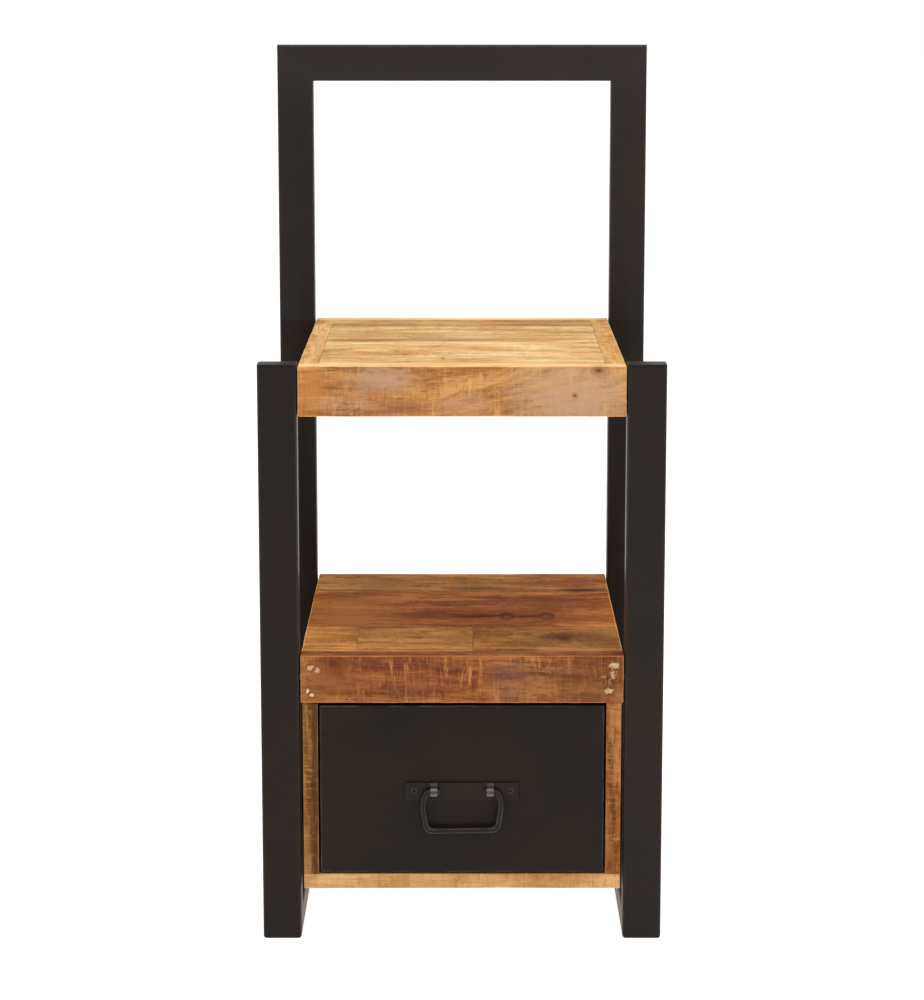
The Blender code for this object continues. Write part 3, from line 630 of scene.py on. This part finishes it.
# ---------------------------------------------------------------- steel frame
def rounded_rectangle(half_a, half_b, radius, steps=CORNER_STEPS):
    points = []
    for quarter, (sign_a, sign_b) in enumerate(((1, 1), (-1, 1), (-1, -1), (1, -1))):
        for step in range(steps + 1):
            angle = math.radians(90) * (quarter + step / steps)
            points.append((sign_a * (half_a - radius) + radius * math.cos(angle),
                           sign_b * (half_b - radius) + radius * math.sin(angle)))
    return points


def on_axis(pair, axis, along):
    values = list(pair)
    values.insert(axis, along)
    return Vector(values)


def tube_mesh(name, axis, low, high, start, end):
    """A hollow tube between two end planes, given as functions of the point in its section."""
    others = [a for a in range(3) if a != axis]
    centre = [(low[a] + high[a]) / 2 for a in others]
    halves = [(high[a] - low[a]) / 2 for a in others]
    rings = []
    for inset, ends in ((0.0, (start, end)), (WALL, (end, start))):
        section = rounded_rectangle(halves[0] - inset, halves[1] - inset, TUBE_CORNER - inset)
        section = [(a + centre[0], b + centre[1]) for a, b in section]
        for plane in ends:
            rings.append([on_axis(pair, axis, plane(*pair)) for pair in section])
    count = len(rings[0])
    points = [point for ring in rings for point in ring]
    faces = ring_faces(4, count, closed=True)
    if axis == 1:
        faces = [face[::-1] for face in faces]
    return mesh_from(name, points, faces, 30)


def drill(item, holes):
    """Cut round holes, each given as start, end and radius, and keep the result as the mesh."""
    cutters = []
    for start, end, radius in holes:
        bm = bmesh.new()
        turn = (end - start).to_track_quat("Z", "Y").to_matrix().to_4x4()
        spot = Matrix.Translation((start + end) / 2) @ turn
        bmesh.ops.create_cone(bm, cap_ends=True, segments=32, radius1=radius, radius2=radius,
                              depth=(end - start).length, matrix=spot)
        mesh = bpy.data.meshes.new("cutter")
        bm.to_mesh(mesh)
        bm.free()
        cutter = bpy.data.objects.new("cutter", mesh)
        bpy.context.collection.objects.link(cutter)
        modifier = item.modifiers.new("hole", "BOOLEAN")
        modifier.operation = "DIFFERENCE"
        modifier.solver = "EXACT"
        modifier.object = cutter
        cutters.append(cutter)
    bpy.context.view_layer.update()
    shape = item.evaluated_get(bpy.context.evaluated_depsgraph_get())
    drilled = bpy.data.meshes.new_from_object(shape)
    item.modifiers.clear()
    item.data = drilled
    shade(drilled, 30)
    for cutter in cutters:
        bpy.data.objects.remove(cutter, do_unlink=True)


def build_tubes():
    """Legs, foot rails, posts and top rail, meeting at their ground mitres."""
    for side, sign in SIDES:
        for end in ("front", "rear"):
            node = f"{end}_leg_{side}"
            low, high = corners(node)
            reach = (lambda a, b: b - FRONT) if end == "front" else (lambda a, b: REAR - b)
            top = high.z
            mesh = tube_mesh(f"{node}_mesh", 2, low, high, reach, lambda a, b: top)
            # painted light: the right legs take the lighter copy of the coat
            coat = STEEL if side == "left" else STEEL_PAINTED_LIGHTER_RIGHT
            leg = place(node, mesh, "frame", coat, "steel")
            holes = []
            for level in ("upper", "lower"):
                bolt_low, bolt_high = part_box(f"{level}_bolt_{end}_{side}")
                y = (bolt_low[1] + bolt_high[1]) / 2
                z = (bolt_low[2] + bolt_high[2]) / 2
                for x, radius in ((sign * HALF_WIDTH, ACCESS_HOLE),
                                  (low.x if sign > 0 else high.x, BOLT_HOLE)):
                    holes.append((Vector((x - 0.003, y, z)), Vector((x + 0.003, y, z)), radius))
            if end == "rear":
                holes.append(seam_hole("lower", side))
            drill(leg, holes)
        node = f"foot_rail_{side}"
        low, high = corners(node)
        mesh = tube_mesh(f"{node}_mesh", 1, low, high, lambda a, b: FRONT + b, lambda a, b: REAR - b)
        place(node, mesh, "frame", STEEL, "steel")
        node = f"upper_post_{side}"
        low, high = corners(node)
        foot = low.z
        mesh = tube_mesh(f"{node}_mesh", 2, low, high, lambda a, b: foot,
                         lambda a, b: HEIGHT - (HALF_WIDTH - abs(a)))
        post = place(node, mesh, "frame", UPPER_STEEL_PAINTED_LIGHTER, "steel")
        drill(post, [seam_hole("upper", side)])
        build_cap(side)
    low, high = corners("top_rail")
    mesh = tube_mesh("top_rail_mesh", 0, low, high, lambda a, b: -HALF_WIDTH + (HEIGHT - b),
                     lambda a, b: HALF_WIDTH - (HEIGHT - b))
    place("top_rail", mesh, "frame", UPPER_STEEL_PAINTED_LIGHTER, "steel")


def seam_hole(level, side):
    low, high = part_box(f"seam_screw_{level}_{side}")
    spot = Vector(((low[0] + high[0]) / 2, REAR, (low[2] + high[2]) / 2))
    depth = Vector((0.0, 0.003, 0.0))
    return spot - depth, spot + depth, SEAM_SCREW_HOLE


def build_cap(side):
    """Welded end cap: a plate with the tube's corners and a softly rounded top edge."""
    node = f"front_leg_cap_{side}"
    low, high = corners(node)
    centre = (low + high) / 2
    size = high - low
    points = []
    rings = 0
    for step in range(6):
        angle = math.radians(90) * step / 5
        inset = CAP_SOFT * (1 - math.cos(angle))
        rise = high.z - CAP_SOFT + CAP_SOFT * math.sin(angle)
        levels = [(0.0, low.z), (0.0, high.z - CAP_SOFT)] if step == 0 else [(inset, rise)]
        for ring_inset, z in levels:
            section = rounded_rectangle(size.x / 2 - ring_inset, size.y / 2 - ring_inset,
                                        TUBE_CORNER - ring_inset)
            points += [(a + centre.x, b + centre.y, z) for a, b in section]
            rings += 1
    count = len(points) // rings
    faces = [list(range(count))[::-1], list(range(count * (rings - 1), count * rings))]
    faces += ring_faces(rings, count)
    place(node, mesh_from(f"{node}_mesh", points, faces, 30), "frame", STEEL, "steel")


def finish_hardware():
    """Bolts, spigots and seam screws keep their CAD shapes."""
    for node in frame["nodes"]:
        if "bolt" in node or "spigot" in node:
            finish = ZINC
        elif "seam_screw" in node:
            finish = SCREW_BLACK
        else:
            continue
        item = bpy.data.objects[node]
        if not item.material_slots:
            item.data.materials.append(finish)
        for material_slot in item.material_slots:
            material_slot.material = finish


# ---------------------------------------------------------------- wooden shelves and cabinet
def mark(kind, at, radii, strength=1.0, more=None):
    """One mark on a board. more is a stain's tint, or the push of a knot or an eye on the grain."""
    extra = {} if more is None else {"tint" if kind == "stain" else "push": more}
    return {"kind": kind, "at": at, "radii": radii, "strength": strength, **extra}


def top_marks(level, *rows):
    """Marks on a top face: kind, x, distance behind the front plane, half sizes, all in millimetres,
    and the rest of mark()."""
    return tuple(mark(kind, (x * MM, FRONT + back * MM, level),
                      (length * MM, width * MM, TOP_MARK_DEPTH), *rest)
                 for kind, x, back, length, width, *rest in rows)


def face_marks(*rows):
    """Marks on a board's front face: kind, x, z, half sizes, all in millimetres,
    and the rest of mark()."""
    return tuple(mark(kind, (x * MM, FRONT, z * MM), (length * MM, FACE_MARK_DEPTH, height * MM), *rest)
                 for kind, x, z, length, height, *rest in rows)


def build_upper_shelf():
    top = UPPER_TOP
    marks = face_marks(
        ("stain", -78, 568, 36, 14, 0.75, (0.50, 0.31, 0.20)),
        ("stain", 108, 552, 62, 40, 0.85, (0.52, 0.32, 0.19)),
        ("stain", -146, 560, 14, 30, 0.7, (0.52, 0.21, 0.05)),
        ("stain", 0, 542, 30, 12, 0.6, (0.56, 0.31, 0.19)),
        ("stain", -60, 540, 26, 6, 0.7, (0.27, 0.11, 0.05)),
        ("knot", 133, 577, 4.4, 2.8, 0.60, 0.018),
        ("knot", 110, 552, 1.6, 1.4, 0.7, 0.003),
    )
    wooden_board("upper_shelf_front_board", 0, 3.1, "amber", "amber_wood", "x- x+ y- z- z+",
                 name="wood_upper_front", worn=0.0018, gain=(0.86, 0.82, 0.80), pith=(0.03, 0.075),
                 tilt=-0.28, rings=150.0, saw=(1,), saw_strength=0.65, patches=0.9, top="honey", marks=marks)
    wooden_board("upper_shelf_rear_board", 0, 7.7, "amber", "amber_wood", "x- x+ y+ z- z+",
                 name="wood_upper_rear", saw=(1,), pith=(-0.02, -0.07), top="honey")
    for side, sign in SIDES:
        outer = "x-" if sign < 0 else "x+"
        wooden_board(f"upper_shelf_{side}_board", 1, 11.0 + sign, "honey", "pale_wood", f"{outer} z- z+",
                     name=f"wood_upper_{side}", worn=0.0018, gain=(0.92, 0.82, 0.70),
                     pith=(sign * 0.04, -0.05), saw=(0,), patches=0.9, figure=0.15, warp=0.004)
    brown, olive, rust = (0.50, 0.24, 0.085), (0.30, 0.185, 0.060), (0.52, 0.22, 0.065)
    looks = {
        "front": dict(seed=1.0, palette="honey", gain=1.03, pith=(0.02, -0.045), tilt=0.03, marks=top_marks(
            top,
            ("stain", -62, 98, 14, 40, 0.55, brown),
            ("knot", -57, 88, 4, 10, 0.45, 0.008),
            ("knot", -66, 112, 3, 7, 0.40, 0.006),
            ("knot", -19, 57, 2.4, 7.5, 0.7, 0.006),
            ("stain", -100, 60, 30, 18, 0.35, rust),
        )),
        "middle": dict(seed=2.0, palette="honey", gain=0.97, pith=(0.05, -0.03), tilt=-0.04, marks=top_marks(
            top,
            ("stain", -105, 198, 50, 17, 0.90, olive),
            ("stain", -30, 206, 60, 16, 0.65, olive),
            ("stain", 60, 200, 50, 12, 0.50, brown),
            ("stain", 40, 285, 60, 18, 0.45, rust),
        )),
        "rear": dict(seed=5.0, palette="honey", gain=(0.88, 0.80, 0.68), pith=(-0.03, -0.04), tilt=0.05,
                     patches=0.9, marks=top_marks(
            top,
            ("stain", 70, 350, 75, 22, 0.75, (0.42, 0.18, 0.06)),
            ("stain", -70, 340, 50, 18, 0.55, (0.40, 0.19, 0.07)),
        )),
    }
    for end, look in looks.items():
        wooden_board(f"upper_shelf_plank_{end}", 0, slot="pale_wood", faces_open="z+", rings=150.0,
                     saw=(2,), saw_strength=0.16, streak_scale=55.0, **look)


def build_cabinet_top():
    top = LOWER_TOP
    chips = face_marks(
        ("filler", -150, 280, 3.4, 3),
        ("filler", -143, 277.5, 3, 3),
        ("filler", -153, 256, 1.8, 2.8),
        ("filler", -149, 252, 2.6, 2),
        ("filler", 151, 282, 5, 3.4, 0.75),
        ("filler", 150, 273, 3.2, 4.8, 0.7),
        ("filler", 145, 264, 3, 5, 0.7),
        ("filler", 145, 256, 5.2, 3.4),
        ("filler", 140, 270, 5, 1.6, 0.6),
        ("crack", 144.5, 265.5, 1.6, 5),
        ("crack", 152, 274.5, 1.2, 2.2),
        ("knot", -128, 283, 5.5, 4, 0.8),
        ("crack", -110, 247.5, 6, 1.2, 0.8),
        ("stain", 48, 266, 22, 24, 0.55, (0.13, 0.070, 0.060)),
        ("stain", -70, 256, 30, 12, 0.5, (0.15, 0.055, 0.030)),
        ("stain", -125, 270, 34, 22, 0.7, (0.20, 0.060, 0.022)),
        ("stain", 115, 260, 44, 24, 0.85, (0.15, 0.050, 0.024)),
    )
    pits = [dict(at=mark["at"], radii=mark["radii"], depth=0.0012, face="y-")
            for mark in chips if mark["kind"] == "crack"]
    wooden_board("cabinet_top_front_board", 0, 23.0, "red", "red_wood", "x- x+ y- z- z+",
                 name="wood_cabinet_front", worn=0.0020, dents=pits, gain=(0.92, 0.92, 0.96),
                 pith=(0.02, 0.070), tilt=0.10, rings=120.0, saw=(1,), saw_strength=1.0, patches=0.8,
                 marks=chips)

    crack = top_marks(
        top,
        ("crack", 4, 178, 14, 4.6, 0.85),
        ("crack", 24, 183, 14, 5),
        ("crack", 65, 179, 10, 5, 0.9),
        ("crack", 77, 183, 6, 5.6),
        ("eye", 47.3, 181, 6.2, 12.5, 1.0, 0.012),
        ("eye", 88.6, 182, 6.6, 14, 1.0, 0.012),
        ("stain", 30, 178, 110, 36, 0.65, (0.22, 0.062, 0.016)),
        ("stain", 105, 215, 60, 70, 0.75, (0.24, 0.060, 0.016)),
        ("stain", -40, 182, 22, 22, 0.65, (0.20, 0.066, 0.018)),
        ("stain", -115, 200, 50, 80, 0.70, (0.52, 0.22, 0.050)),
    )
    grooves = [dict(at=mark["at"], radii=mark["radii"], depth=0.0011, face="z+")
               for mark in crack if mark["kind"] in ("crack", "eye")]
    looks = {
        "cabinet_top_front_plank_left": dict(seed=31.0, palette="golden", gain=1.25),
        "cabinet_top_front_plank_middle": dict(seed=33.0, palette="golden", gain=1.05, tilt=0.02),
        "cabinet_top_front_plank_right": dict(seed=35.0, palette="golden", gain=0.92, marks=top_marks(
            top,
            ("knot", 103.5, 79, 5.5, 8.5, 1.0, 0.018),
            ("stain", 110, 82, 45, 34, 0.75, (0.13, 0.048, 0.016)),
            ("stain", 140, 60, 30, 30, 0.5, (0.24, 0.080, 0.024)),
            ("stain", 60, 45, 35, 10, 0.6, (0.11, 0.040, 0.014)),
        )),
        "cabinet_top_middle_plank": dict(seed=37.0, palette="brown", gain=1.22, pith=(0.0, -0.03),
                                         marks=crack, dents=grooves),
        "cabinet_top_rear_plank": dict(seed=41.0, palette="golden", gain=1.12, tilt=0.04, marks=top_marks(
            top,
            ("stain", 16, 348, 30, 45, 0.65, (0.22, 0.125, 0.040)),
            ("stain", 130, 312, 34, 10, 0.95, (0.035, 0.018, 0.010)),
            ("stain", 110, 355, 60, 40, 0.7, (0.26, 0.070, 0.022)),
            ("stain", -90, 350, 60, 40, 0.5, (0.50, 0.24, 0.070)),
        )),
    }
    for node, look in looks.items():
        faces = "z+"
        if not node.endswith(("middle", "right")):
            faces += " x-"
        if not node.endswith(("middle", "left")):
            faces += " x+"
        if "rear" in node:
            faces += " y+"
        wooden_board(node, 0, slot="brown_wood", faces_open=faces, worn=0.0020, rings=150.0, saw=(2,),
                     saw_strength=0.22, streak_scale=60.0, **look)
    for node, grain in (("cabinet_top_left_rail", 1), ("cabinet_top_right_rail", 1),
                        ("cabinet_top_rear_rail", 0)):
        wooden_board(node, grain, 50.0 + len(node) + grain, "brown", "brown_wood", "x- x+ y+ z-",
                     gain=1.05, saw=(1 - grain,), saw_strength=0.5)


def build_cabinet():
    for side, sign in SIDES:
        node = f"cabinet_side_{side}"
        centre = middle_of(node)
        marks = ()
        if side == "left":
            # painted shade: a dark stripe down the inner half of the left side's front edge, beside the
            # drawer gap
            marks = ({"kind": "stain", "at": (centre[0] + 0.0045, FRONT, centre[2]),
                      "radii": (0.0042, 0.03, 0.30), "tint": (0.075, 0.030, 0.012), "strength": 0.85},)
        gain = (0.62, 0.66, 0.80) if side == "left" else (0.72, 0.60, 0.70)
        wooden_board(node, 2, 60.0 + sign, "golden", "brown_wood", "x- x+ y- y+", worn=0.0009, gain=gain,
                     pith=(0.03 * sign, -0.26), saw=(0, 1), saw_strength=0.9, patches=0.8, marks=marks)
    wooden_board("cabinet_bottom", 0, 67.0, "tan", "pale_wood", "x- x+ y- y+ z-", worn=0.0010,
                 gain=(0.88, 0.90, 1.0), pith=(0.02, -0.05), saw=(1, 2), saw_strength=0.5, streaks=0.2)
    for node, grain, seed in (("cabinet_back", 0, 71.0), ("drawer_runner_left", 1, 73.0),
                              ("drawer_runner_right", 1, 74.0)):
        wooden_board(node, grain, seed, "plain", "plain_wood", "y+ z+", worn=0.0008,
                     gain=(0.92, 0.80, 0.66), saw=(1, 2), saw_strength=0.4)


# ---------------------------------------------------------------- drawer
def eased_copy(node, body, slot, material, width=0.0006):
    """The CAD shape with its edges eased."""
    mesh = bpy.data.objects[node].data.copy()
    mesh.materials.clear()
    item = place(node, mesh, body, material, slot)
    bevel = item.modifiers.new("eased_edges", "BEVEL")
    bevel.width = width
    bevel.segments = 2
    bevel.limit_method = "ANGLE"
    bevel.harden_normals = False
    return item


def build_drawer():
    for node, grain, seed in (("drawer_side_left", 1, 81.0), ("drawer_side_right", 1, 83.0),
                              ("drawer_front_core", 0, 85.0)):
        material = wood(f"wood_{node}", grain, middle_of(node), seed, "plain", pith=(0.0, -0.09),
                        saw=(0, 1), saw_strength=0.2)
        eased_copy(node, "drawer", "plain_wood", material)
    wooden_board("drawer_back", 0, 87.0, "plain", "plain_wood", "y- y+ z+", body="drawer", worn=0.0008,
                 pith=(0.0, -0.08))
    wooden_board("drawer_bottom", 1, 89.0, "plain", "plywood", "", body="drawer", wave=0.00005, gain=1.1,
                 pith=(0.0, -0.6), warp=0.03, rings=60.0, streaks=0.15)


def build_skin():
    """Folded steel sheet round the drawer face, with rolled folds."""
    low, high = corners("drawer_front_skin")
    centre = (low + high) / 2
    half = Vector(((high.x - low.x) / 2, 0.0, (high.z - low.z) / 2))
    steps = 6
    rings = [(SKIN_SHEET, high.y), (0.0, high.y)]
    for step in range(steps + 1):
        angle = math.radians(90) * step / steps
        rings.append((SKIN_FOLD * (1 - math.cos(angle)), low.y + SKIN_FOLD * (1 - math.sin(angle))))
    corner_steps = 4
    points = []
    for inset, y in rings:
        radius = max(0.0006, 0.0016 - 0.4 * inset)
        section = rounded_rectangle(half.x - inset, half.z - inset, radius, corner_steps)
        points += [(a + centre.x, y, b + centre.z) for a, b in section]
    count = len(points) // len(rings)
    faces = ring_faces(len(rings), count, inward=True)
    faces.append(list(range(count * (len(rings) - 1), count * len(rings)))[::-1])
    inner = [(a + centre.x, y, b + centre.z) for y in (high.y, low.y + SKIN_SHEET)
             for a, b in rounded_rectangle(half.x - SKIN_SHEET, half.z - SKIN_SHEET, 0.0006, corner_steps)]
    base = len(points)
    points += inner
    faces += [tuple(base + i for i in face) for face in ring_faces(2, count)]
    faces.append(list(range(base + count, base + 2 * count)))
    mesh = mesh_from("drawer_skin_mesh", points, faces, 35)
    face_outwards(mesh, merge=True)
    shade(mesh, 35)
    place("drawer_front_skin", mesh, "drawer", SKIN_STEEL, "drawer_skin")


# ---------------------------------------------------------------- handle
def sweep(name, spots, radii, sides=20):
    """A rod along a path in one XZ plane, with a radius at each point."""
    points = []
    for i, (spot, radius) in enumerate(zip(spots, radii)):
        before = spots[max(0, i - 1)]
        after = spots[min(len(spots) - 1, i + 1)]
        ahead = (after - before).normalized()
        out = Vector((0.0, 1.0, 0.0))
        up = ahead.cross(out)
        for step in range(sides):
            angle = math.tau * step / sides
            hammered = 1.0 + 0.03 * noise.noise(spot * 260.0 + Vector((0.0, step * 0.4, 0.0)))
            points.append(spot + (out * math.cos(angle) + up * math.sin(angle)) * radius * hammered)
    faces = [list(range(sides)), list(range(len(points) - sides, len(points)))[::-1]]
    faces += ring_faces(len(spots), sides, inward=True)
    mesh = mesh_from(name, points, faces, 40)
    face_outwards(mesh)
    return mesh


def build_bail():
    """A forged rod, thicker through its bends, with thin ends turned into the lugs."""
    low, high = corners("handle_bail")
    pivot = Vector(BAIL_JOINT["pos_m"])
    lug_low, lug_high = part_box("handle_lug_right")
    end_x = lug_low[0] - 0.0022
    shoulder = lug_high[0] + 0.0006
    half = high.x - WIRE
    drop = pivot.z - (low.z + WIRE)
    path = [(end_x, 0.0, 0.80), (end_x + 0.002, 0.0, 0.82), (shoulder, 0.0, 0.82)]
    bow = ((shoulder, 0.0), (half - 0.0006, -0.0002), (half + 0.0012, -0.0130), (half, -drop * 0.48))
    for step in range(1, 17):
        t = step / 16
        weights = ((1 - t) ** 3, 3 * t * (1 - t) ** 2, 3 * t * t * (1 - t), t ** 3)
        path.append((sum(w * p[0] for w, p in zip(weights, bow)), sum(w * p[1] for w, p in zip(weights, bow)),
                     min(1.0, 0.82 + 0.45 * t)))
    for step in range(1, 13):
        angle = math.radians(-90 * step / 12)
        path.append((half - BAIL_LEAN - BAIL_CORNER + BAIL_CORNER * math.cos(angle),
                     -drop + BAIL_CORNER + BAIL_CORNER * math.sin(angle), 1.0))
    for share in (0.62, 0.4, 0.2, 0.0):
        path.append((half * share, -drop, 0.98))
    left = [(-x, z, radius) for x, z, radius in path[:-1]]
    whole = left + path[::-1]
    spots = [pivot + Vector((x, 0.0, z + BAIL_SLANT * (x / half) * min(1.0, -z / drop)))
             for x, z, radius in whole]
    mesh = sweep("handle_bail_mesh", spots, [WIRE * radius for x, z, radius in whole])
    place("handle_bail", mesh, "bail", IRON, "handle_iron")


def build_lug(side):
    """A strip rolled round the bail's end, its tail flat against the plate, with soft edges."""
    node = f"handle_lug_{side}"
    low, high = corners(node)
    pivot = Vector(BAIL_JOINT["pos_m"])
    steps = 36
    turn = math.radians(-300)
    inner = [(LUG_BORE * math.cos(turn * i / steps), LUG_BORE * math.sin(turn * i / steps))
             for i in range(steps + 1)]
    outer_radius = LUG_BORE + LUG_STRIP
    outer = [(outer_radius * math.cos(turn * i / steps), outer_radius * math.sin(turn * i / steps))
             for i in range(steps, -1, -1)]
    tail = high.z - pivot.z
    outline = [(LUG_BORE, tail), *inner, *outer, (outer_radius, tail)]
    bm = bmesh.new()
    loops = [[bm.verts.new((x, pivot.y + a, pivot.z + b)) for a, b in outline] for x in (low.x, high.x)]
    bm.faces.new(loops[0])
    bm.faces.new(loops[1])
    for i in range(len(outline)):
        j = (i + 1) % len(outline)
        bm.faces.new((loops[0][i], loops[0][j], loops[1][j], loops[1][i]))
    bmesh.ops.recalc_face_normals(bm, faces=bm.faces)
    rim = [edge for edge in bm.edges if abs(edge.verts[0].co.x - edge.verts[1].co.x) < 1e-6]
    bmesh.ops.bevel(bm, geom=rim, offset=0.00035, segments=2, affect="EDGES", profile=0.6)
    mesh = bpy.data.meshes.new(f"{node}_mesh")
    bm.to_mesh(mesh)
    bm.free()
    shade(mesh, 50)
    place(node, mesh, "drawer", LUG_IRON, "handle_iron")


def build_screw(side):
    """A dome-headed screw with a six-sided socket."""
    node = f"handle_screw_{side}"
    low, high = corners(node)
    centre = (low + high) / 2
    head_top = low.y
    head_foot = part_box("handle_plate")[0][1]
    rise = head_foot - head_top
    rings = [(head_top + SOCKET, 0.0, True), (head_top + SOCKET, SOCKET, True),
             (head_top + 0.0001, SOCKET, True), (head_top, SOCKET + 0.0002, False)]
    for step in range(1, 7):
        angle = math.radians(90) * step / 6
        rings.append((head_foot - rise * math.cos(angle),
                      SOCKET + 0.0002 + (SCREW_HEAD - SOCKET - 0.0002) * math.sin(angle), False))
    rings += [(head_foot, SCREW_SHANK, False), (high.y, SCREW_SHANK, False), (high.y, 0.0, False)]
    sides = 36
    points = []
    for y, radius, hexagon in rings:
        for step in range(sides):
            angle = math.tau * step / sides
            sector = angle % math.radians(60) - math.radians(30)
            reach = radius * (math.cos(math.radians(30)) / math.cos(sector) if hexagon else 1.0)
            points.append((centre.x + reach * math.cos(angle), y, centre.z + reach * math.sin(angle)))
    mesh = mesh_from(f"{node}_mesh", points, ring_faces(len(rings), sides, inward=True), 35)
    face_outwards(mesh, merge=True)
    place(node, mesh, "drawer", IRON, "handle_iron")


def build_handle():
    make_board("handle_plate", "drawer", "handle_iron", PLATE_IRON, "x- x+ y- z- z+", 91.0, worn=0.0005,
               joint=0.0002, wave=0.00015)
    for side, _ in SIDES:
        build_lug(side)
        build_screw(side)
    build_bail()


# ---------------------------------------------------------------- studio
def build_floor():
    bm = bmesh.new()
    bmesh.ops.create_grid(bm, x_segments=1, y_segments=1, size=FLOOR_HALF)
    mesh = bpy.data.meshes.new("studio_floor")
    bm.to_mesh(mesh)
    bm.free()
    g = Graph("studio_floor")
    g.set(Base_Color=(0.55, 0.55, 0.55), Roughness=0.9, Specular_IOR_Level=0.0,
          Emission_Color=(1.0, 1.0, 1.0), Emission_Strength=FLOOR_GLOW)
    mesh.materials.append(g.material)
    floor = bpy.data.objects.new("studio_floor", mesh)
    floor.location.z = CAD_BOX[0][2] - 0.0002
    bpy.context.collection.objects.link(floor)


def build_world():
    """White behind and above the object, dim towards the front; the backdrop itself is white."""
    world = bpy.data.worlds.new("studio")
    bpy.context.scene.world = world
    world.use_nodes = True
    tree = world.node_tree
    tree.nodes.clear()
    output, coords, split, behind, light, backdrop, path, either = (
        tree.nodes.new(f"ShaderNode{kind}") for kind in (
            "OutputWorld", "TexCoord", "SeparateXYZ", "MapRange", "Background", "Background", "LightPath",
            "MixShader"))
    behind.interpolation_type = "SMOOTHSTEP"
    for socket, value in zip(list(behind.inputs)[1:], (-0.5, 0.35, 0.22, 1.0)):
        socket.default_value = value
    backdrop.inputs["Strength"].default_value = 1.0
    backdrop.inputs["Color"].default_value = (1.0, 1.0, 1.0, 1.0)
    for start, end in ((coords.outputs["Generated"], split.inputs[0]),
                       (split.outputs["Y"], behind.inputs[0]),
                       (behind.outputs[0], light.inputs["Strength"]),
                       (path.outputs["Is Camera Ray"], either.inputs[0]),
                       (light.outputs[0], either.inputs[1]),
                       (backdrop.outputs[0], either.inputs[2]),
                       (either.outputs[0], output.inputs[0])):
        tree.links.new(start, end)


def softbox(name, location, target, size, power):
    light = bpy.data.lights.new(name, "AREA")
    light.shape = "RECTANGLE"
    light.size, light.size_y = size
    light.energy = power
    item = bpy.data.objects.new(name, light)
    item.location = location
    item.rotation_euler = (Vector(target) - Vector(location)).to_track_quat("-Z", "Y").to_euler()
    bpy.context.collection.objects.link(item)


def build_studio():
    build_floor()
    build_world()
    softbox("overhead_softbox", (0.2, -0.5, 2.9), (0.0, 0.0, 0.4), (2.0, 2.0), 34.0)
    softbox("front_right_softbox", (2.1, -2.7, 2.2), (0.0, 0.0, 0.60), (1.2, 1.6), 36.0)
    softbox("front_left_softbox", (-2.2, -2.6, 2.0), (0.0, 0.0, 0.55), (1.2, 1.4), 20.0)
    bpy.context.scene.view_settings.view_transform = "Standard"
    bpy.context.scene.view_settings.look = "None"


def build_camera():
    """Eye 2.83 m in front of the legs and 0.96 m up, looking down at the table's middle."""
    camera = bpy.data.cameras.new("camera")
    camera.lens = LENS
    camera.sensor_width = SENSOR
    item = bpy.data.objects.new("camera", camera)
    item.location = (0.0, FRONT - EYE_DISTANCE, EYE_HEIGHT)
    item.rotation_euler = (math.radians(90.0 - LOOK_DOWN), 0.0, 0.0)
    bpy.context.collection.objects.link(item)
    bpy.context.scene.camera = item


# ---------------------------------------------------------------- the table
build_studio()
build_camera()
build_tubes()
finish_hardware()
build_upper_shelf()
build_cabinet_top()
build_cabinet()
build_drawer()
build_skin()
build_handle()
